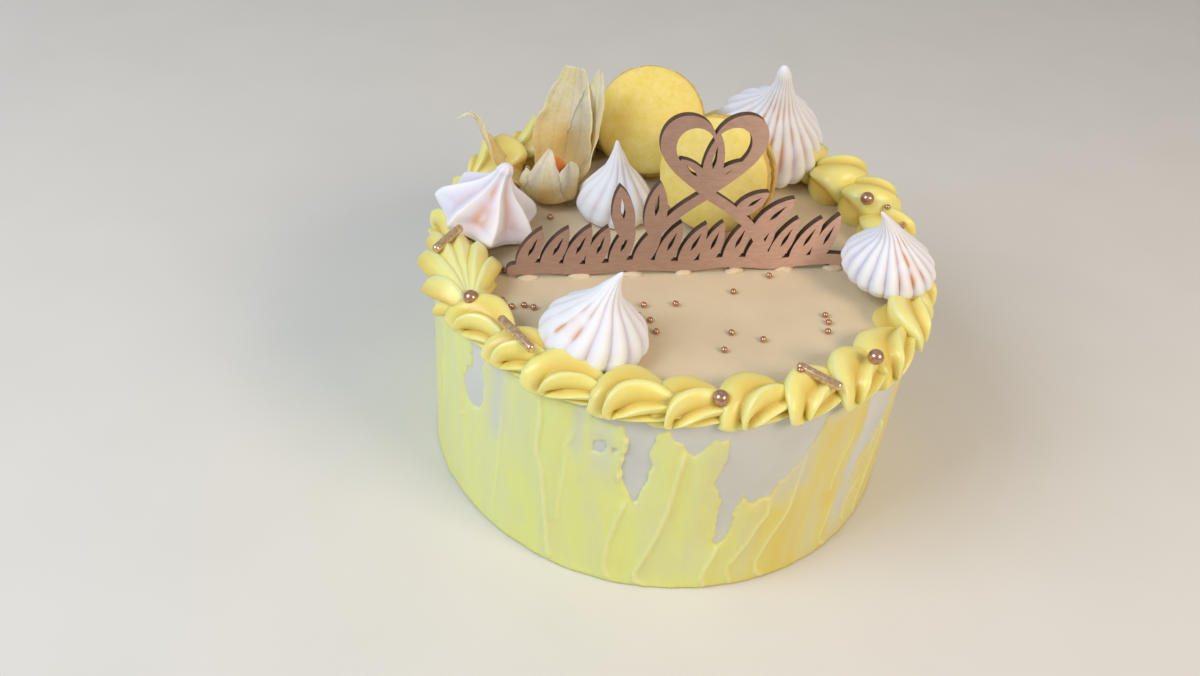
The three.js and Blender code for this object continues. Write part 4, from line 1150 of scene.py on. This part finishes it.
def husk_rule(leaf, k):
    facing, wrap, path = leaf

    def rule(points):
        u, v = points[:, 0], (points[:, 1] + 1) / 2
        distance, height, width = course(path, v).T
        rib = np.exp(-((fract((u + 1) / 2 * RIBS) - 0.5) / 0.09) ** 2)
        fold = (1.3 - 2.6 * np.abs(u)) * (0.6 + 0.4 * np.cos(2 * math.pi * u)) * np.sin(math.pi * v)
        wave = 0.7 * np.sin(9 * v + k) * u
        across = facing + np.degrees(u * width / 2 / wrap)
        sheet = polar(wrap + fold + wave + 0.15 * rib, across, 0)
        middle = polar(distance - wrap, facing, height)
        after = sheet + middle
        crinkle = 0.7 * np.abs(u)[:, None] ** 2 + 0.35
        after += crinkle * wobble(after, 6.5, range(3 * k + 60, 3 * k + 63))
        after += 0.14 * wobble(after, 1.8, (k + 70, k + 75, k + 80))
        foot = smooth(0.8, 0.15, v + 0.12 * noise(after, 5, 85))
        patch = 0.75 + 0.5 * noise(after, 8, 87)
        amber = np.exp(-(((u - 0.1) / 0.45) ** 2) - ((v - 0.38) / 0.17) ** 2) * patch
        film = np.exp(-(((u + 0.4) / 0.3) ** 2)) * smooth(0.25, 0.5, v) * patch
        return after, {"foot": 0.75 * foot, "rib": 0.18 * rib * smooth(0.02, 0.2, v),
                       "amber": np.clip(0.9 * amber, 0, 1), "film": np.clip(0.8 * film, 0, 1)}
    return rule


leaves = [moved(grid(LEAF_COLUMNS, LEAF_ROWS), husk_rule(leaf, k))
          for k, leaf in enumerate(HUSK_LEAVES)]
husk = piece("physalis_leaves", placed(gathered(leaves), Matrix.Translation(HUSK_AT)), [DRY_HUSK],
             ["physalis_husk"])
wall = husk.modifiers.new("wall", "SOLIDIFY")
wall.thickness = HUSK_THICKNESS * MM
wall.offset = 0

berry = placed(ball(BERRY_RADIUS, 64, 40), Matrix.Translation(HUSK_AT + Vector((0, 0, BERRY_LIFT))))
piece("physalis_fruit", berry, [BERRY_SKIN], ["physalis_berry"])

# %% [markdown]
# The topper is laser-cut from thin birch plywood. The face is matt pinkish brown with a faint
# grain, and it is painted lighter towards the right, as painted light from that side. The laser
# scorches the cut edge, so the edges are almost black, and they draw a thin dark line round
# every shape.

# %% Finishes: topper wood
TOPPER_TURN = 12.7


def stained_face_and_painted_light():
    made, tree, shader, place = finish("stained_birch_plywood_and_painted_light")
    long_grain = node(tree, "Mapping", {"Vector": place, "Scale": (0.12, 1, 1),
                                        "Rotation": (0, 0, math.radians(-TOPPER_TURN))}).outputs[0]
    wood, grain = clouded(tree, long_grain, 1.1, ("#b08e80", "#bc9988"), (0.35, 0.65), detail=5)
    # Painted light: the face colour is multiplied from darker at the left to lighter at the right.
    across = node(tree, "SeparateXYZ", {0: place}).outputs["X"]
    coat = node(tree, "MapRange", {0: across, 1: 0.0, 2: 80 * MM, 3: 0.86, 4: 1.65}).outputs[0]
    colour = node(tree, "Mix", {0: 1.0, 6: wood, 7: coat}, data_type="RGBA",
                  blend_type="MULTIPLY").outputs[2]
    bump = node(tree, "Bump", {"Height": grain, "Strength": 0.2, "Distance": 0.1 * MM})
    set_sockets(tree, shader, {"Base Color": colour, "Roughness": 0.6, "Normal": bump.outputs[0]})
    return made


def scorched_edge():
    made, tree, shader, place = finish("laser_scorched_plywood_edge")
    colour = clouded(tree, place, 1.5, ("#3a2a22", "#6d5040"))[0]
    set_sockets(tree, shader, {"Base Color": colour, "Roughness": 0.75})
    return made


STAINED_FACE_AND_PAINTED_LIGHT, SCORCHED_EDGE = stained_face_and_painted_light(), scorched_edge()
print("finishes:", STAINED_FACE_AND_PAINTED_LIGHT.name, SCORCHED_EDGE.name)

# %% [markdown]
# The board's shapes are outlines that are extruded to its thickness: an uneven rail, slanting
# leaves with a slit each, two bowed stems and a heart. Each kind has a short function that draws
# its outline from a few curves, finer than in the solid model.

# %% Topper outlines
TOPPER_THICKNESS = 3.0
TOPPER_SINK = 2.4
TOPPER_AT = (0, -11.4, CAKE_HEIGHT)
TOPPER_LEFT, TOPPER_RIGHT = -75, 82
RAIL_WIDTH = 5.5
RAIL_HEIGHT = 4.5
FOOT_WIDTH = 5
LEAF_FIRST, LEAF_STEP = 5, 10
LEAF_LENGTH, LEAF_WIDTH = 25, 8.4
LEAF_SLANT = 20
HEART_X, HEART_Y, HEART_SIZE, HEART_BAND = 7, 57.5, 40, 0.7
HEART_HALF = [[(0, 0.25), (0.1, 0.52), (0.48, 0.55), (0.55, 0.26)],
              [(0.55, 0.26), (0.62, -0.05), (0.25, -0.28), (0, -0.5)]]
STEM_WIDTH = 4.6
STEMS = [[(-20, 6), (-13, 20), (-4, 31), (6, 39)], [(38, 6), (31, 20), (20, 31), (9, 39)]]
TOPPER_FEET = [-66, -44, -21, 2, 25, 48, 71]
UPPER_LEAVES = [
    (-25, 18, 27, 9.5, -10), (-14, 19, 27, 9.5, 2), (30, 19, 24, 9.5, 42),
    (20, 29, 18, 8, 52), (HEART_X, 41, 27, 8.5, 4), (HEART_X, 43, 19, 7.5, -44),
    (HEART_X, 43, 19, 7.5, 50),
]


def bezier(corners, steps=14):
    """Points on a cubic curve, without its last one."""
    a, b, c, d = (np.array(corner, float) for corner in corners)
    t = np.linspace(0, 1, steps, endpoint=False)[:, None]
    return (1 - t) ** 3 * a + 3 * t * (1 - t) ** 2 * b + 3 * t**2 * (1 - t) * c + t**3 * d


def board(outline, hole=None):
    """An outline, with a hole of as many points or none, extruded to the board's thickness."""
    bm = bmesh.new()
    rings = []
    for line in [outline] if hole is None else [outline, hole]:
        verts = [bm.verts.new((x, TOPPER_THICKNESS / 2, y)) for x, y in line]
        rings.append([bm.edges.new(pair) for pair in zip(verts, verts[1:] + verts[:1])])
    if hole is None:
        bmesh.ops.contextual_create(bm, geom=rings[0])
    else:
        bmesh.ops.bridge_loops(bm, edges=rings[0] + rings[1])
    drawn = bmesh.ops.extrude_face_region(bm, geom=bm.faces[:])["geom"]
    verts = [part for part in drawn if isinstance(part, bmesh.types.BMVert)]
    bmesh.ops.translate(bm, vec=(0, -TOPPER_THICKNESS, 0), verts=verts)
    bmesh.ops.recalc_face_normals(bm, faces=bm.faces)
    return bm


def leaf_board(x, y, length, width, slant):
    """A pointed leaf from its foot, with a slit along its middle."""
    lean = math.radians(slant)

    def blade(wide, start, end):
        half = [(start, 0), (start + 0.15, wide), (end - 0.3, wide), (end, 0)]
        other = [(u, -v) for u, v in half[::-1]]
        points = np.vstack([bezier(half), bezier(other)])
        u, v = points[:, 0] * length, points[:, 1] * width
        return np.stack([x + u * math.sin(lean) + v * math.cos(lean),
                         y + u * math.cos(lean) - v * math.sin(lean)], axis=1)
    return board(blade(0.68, 0, 1), blade(0.13, 0.4, 0.8))


def heart_line(size):
    left = [[(-u, v) for u, v in curve[::-1]] for curve in HEART_HALF[::-1]]
    points = np.vstack([bezier(curve, 24) for curve in HEART_HALF + left])
    return points * size + (HEART_X, HEART_Y)


def strip_boards(path, width, steps):
    """A strip of even width with round ends along a curve."""
    t = np.linspace(0, 1, steps + 1)
    middle = course(path, t)
    way = np.gradient(middle, axis=0)
    way /= np.linalg.norm(way, axis=1)[:, None]
    side = np.stack([-way[:, 1], way[:, 0]], axis=1) * width / 2
    turn = np.linspace(0, 2 * math.pi, 24, endpoint=False)
    circle = np.stack([np.cos(turn), np.sin(turn)], axis=1) * width / 2
    ends = [board(circle + middle[k]) for k in (0, -1)]
    return [board(np.vstack([middle - side, (middle + side)[::-1]]))] + ends


def foot_board(s):
    left, right, low = s - FOOT_WIDTH / 2, s + FOOT_WIDTH / 2, -TOPPER_SINK
    return board([(left, low), (right, low), (right, RAIL_HEIGHT), (left, RAIL_HEIGHT)])


print("heart outline points:", len(heart_line(HEART_SIZE)))

# %% [markdown]
# The boards could stay as they are and only overlap, but then their inner edges would show as
# dark lines. So one Boolean union joins them, and the face and the cut edge get their finishes by
# the way each side looks.

# %% Topper
def topper_boards():
    run = TOPPER_RIGHT - TOPPER_LEFT - RAIL_WIDTH
    rail = [(TOPPER_LEFT + RAIL_WIDTH / 2 + k * run / 12, RAIL_HEIGHT + 0.9 * math.sin(1.9 * k))
            for k in range(13)]
    boards = strip_boards(rail, RAIL_WIDTH, 48)
    count = math.ceil((TOPPER_RIGHT - 1.5 * LEAF_WIDTH - TOPPER_LEFT - LEAF_FIRST) / LEAF_STEP)
    for k in range(1, count + 1):
        s = TOPPER_LEFT + LEAF_FIRST + (k - 1) * LEAF_STEP
        length = LEAF_LENGTH * (1 + 0.08 * uneven(k, 9))
        slant = LEAF_SLANT + 5 * uneven(k, 10)
        boards.append(leaf_board(s, RAIL_HEIGHT - 2, length, LEAF_WIDTH, slant))
    for stem in STEMS:
        boards += strip_boards(stem, STEM_WIDTH, 20)
    boards += [leaf_board(*leaf) for leaf in UPPER_LEAVES]
    boards.append(board(heart_line(HEART_SIZE), heart_line(HEART_SIZE * HEART_BAND)))
    return boards + [foot_board(s) for s in TOPPER_FEET]


def joined_board(boards):
    """One bmesh from a Boolean union of all the boards."""
    parts = bpy.data.collections.new("topper_parts")
    scene.collection.children.link(parts)
    for k, bm in enumerate(boards):
        mesh = bpy.data.meshes.new(f"part_{k}")
        bm.to_mesh(mesh)
        bm.free()
        parts.objects.link(bpy.data.objects.new(mesh.name, mesh))
    first = parts.objects[0]
    parts.objects.unlink(first)
    scene.collection.objects.link(first)
    union = first.modifiers.new("union", "BOOLEAN")
    union.operation = "UNION"
    union.operand_type = "COLLECTION"
    union.collection = parts
    union.solver = "MANIFOLD"
    bpy.context.view_layer.update()
    solved = first.evaluated_get(bpy.context.evaluated_depsgraph_get())
    bm = bmesh.new()
    bm.from_mesh(solved.to_mesh())
    for part in [first, *parts.objects]:
        bpy.data.meshes.remove(part.data)
    bpy.data.collections.remove(parts)
    bmesh.ops.remove_doubles(bm, verts=bm.verts, dist=1e-4)
    bmesh.ops.dissolve_limit(bm, angle_limit=math.radians(0.5), verts=bm.verts, edges=bm.edges)
    return bm


topper_bm = joined_board(topper_boards())
for face in topper_bm.faces:
    face.material_index = 0 if abs(face.normal.y) > 0.5 else 1
placed(topper_bm, standing(TOPPER_AT, spin=TOPPER_TURN))
topper = piece("wooden_topper", topper_bm, [STAINED_FACE_AND_PAINTED_LIGHT, SCORCHED_EDGE],
               ["topper"])
for polygon in topper.data.polygons:
    polygon.use_smooth = False

# %% [markdown]
# Where the topper was pushed in, each foot raised a small collar of soft cream on the cake. A
# flattened sphere with a little noise makes one, and a loop sets one at each foot.

# %% Collars at the topper's feet
COLLAR_WIDTH, COLLAR_DEPTH, COLLAR_HEIGHT = 9, 5, 2
COLLAR_FORWARD, COLLAR_SUNK = 0.6, 0.2


def collar(s, k):
    def rule(points):
        wide = COLLAR_WIDTH / 2 * (1 + 0.2 * uneven(k, 21))
        after = points * (wide, COLLAR_DEPTH / 2, COLLAR_HEIGHT)
        after[:, 1] += 0.8 * noise(after, 3, 80 + k) - 0.4
        after[:, 2] += 0.35 * noise(after, 2.2, 90 + k)
        return after, {}
    return placed(moved(ball(1, 40, 20), rule), standing(TOPPER_AT, spin=TOPPER_TURN)
                  @ Matrix.Translation((s, -COLLAR_FORWARD, -COLLAR_SUNK)))


piece("cream_collars", gathered([collar(s, k) for k, s in enumerate(TOPPER_FEET)]),
      [SPREAD_CREAM])
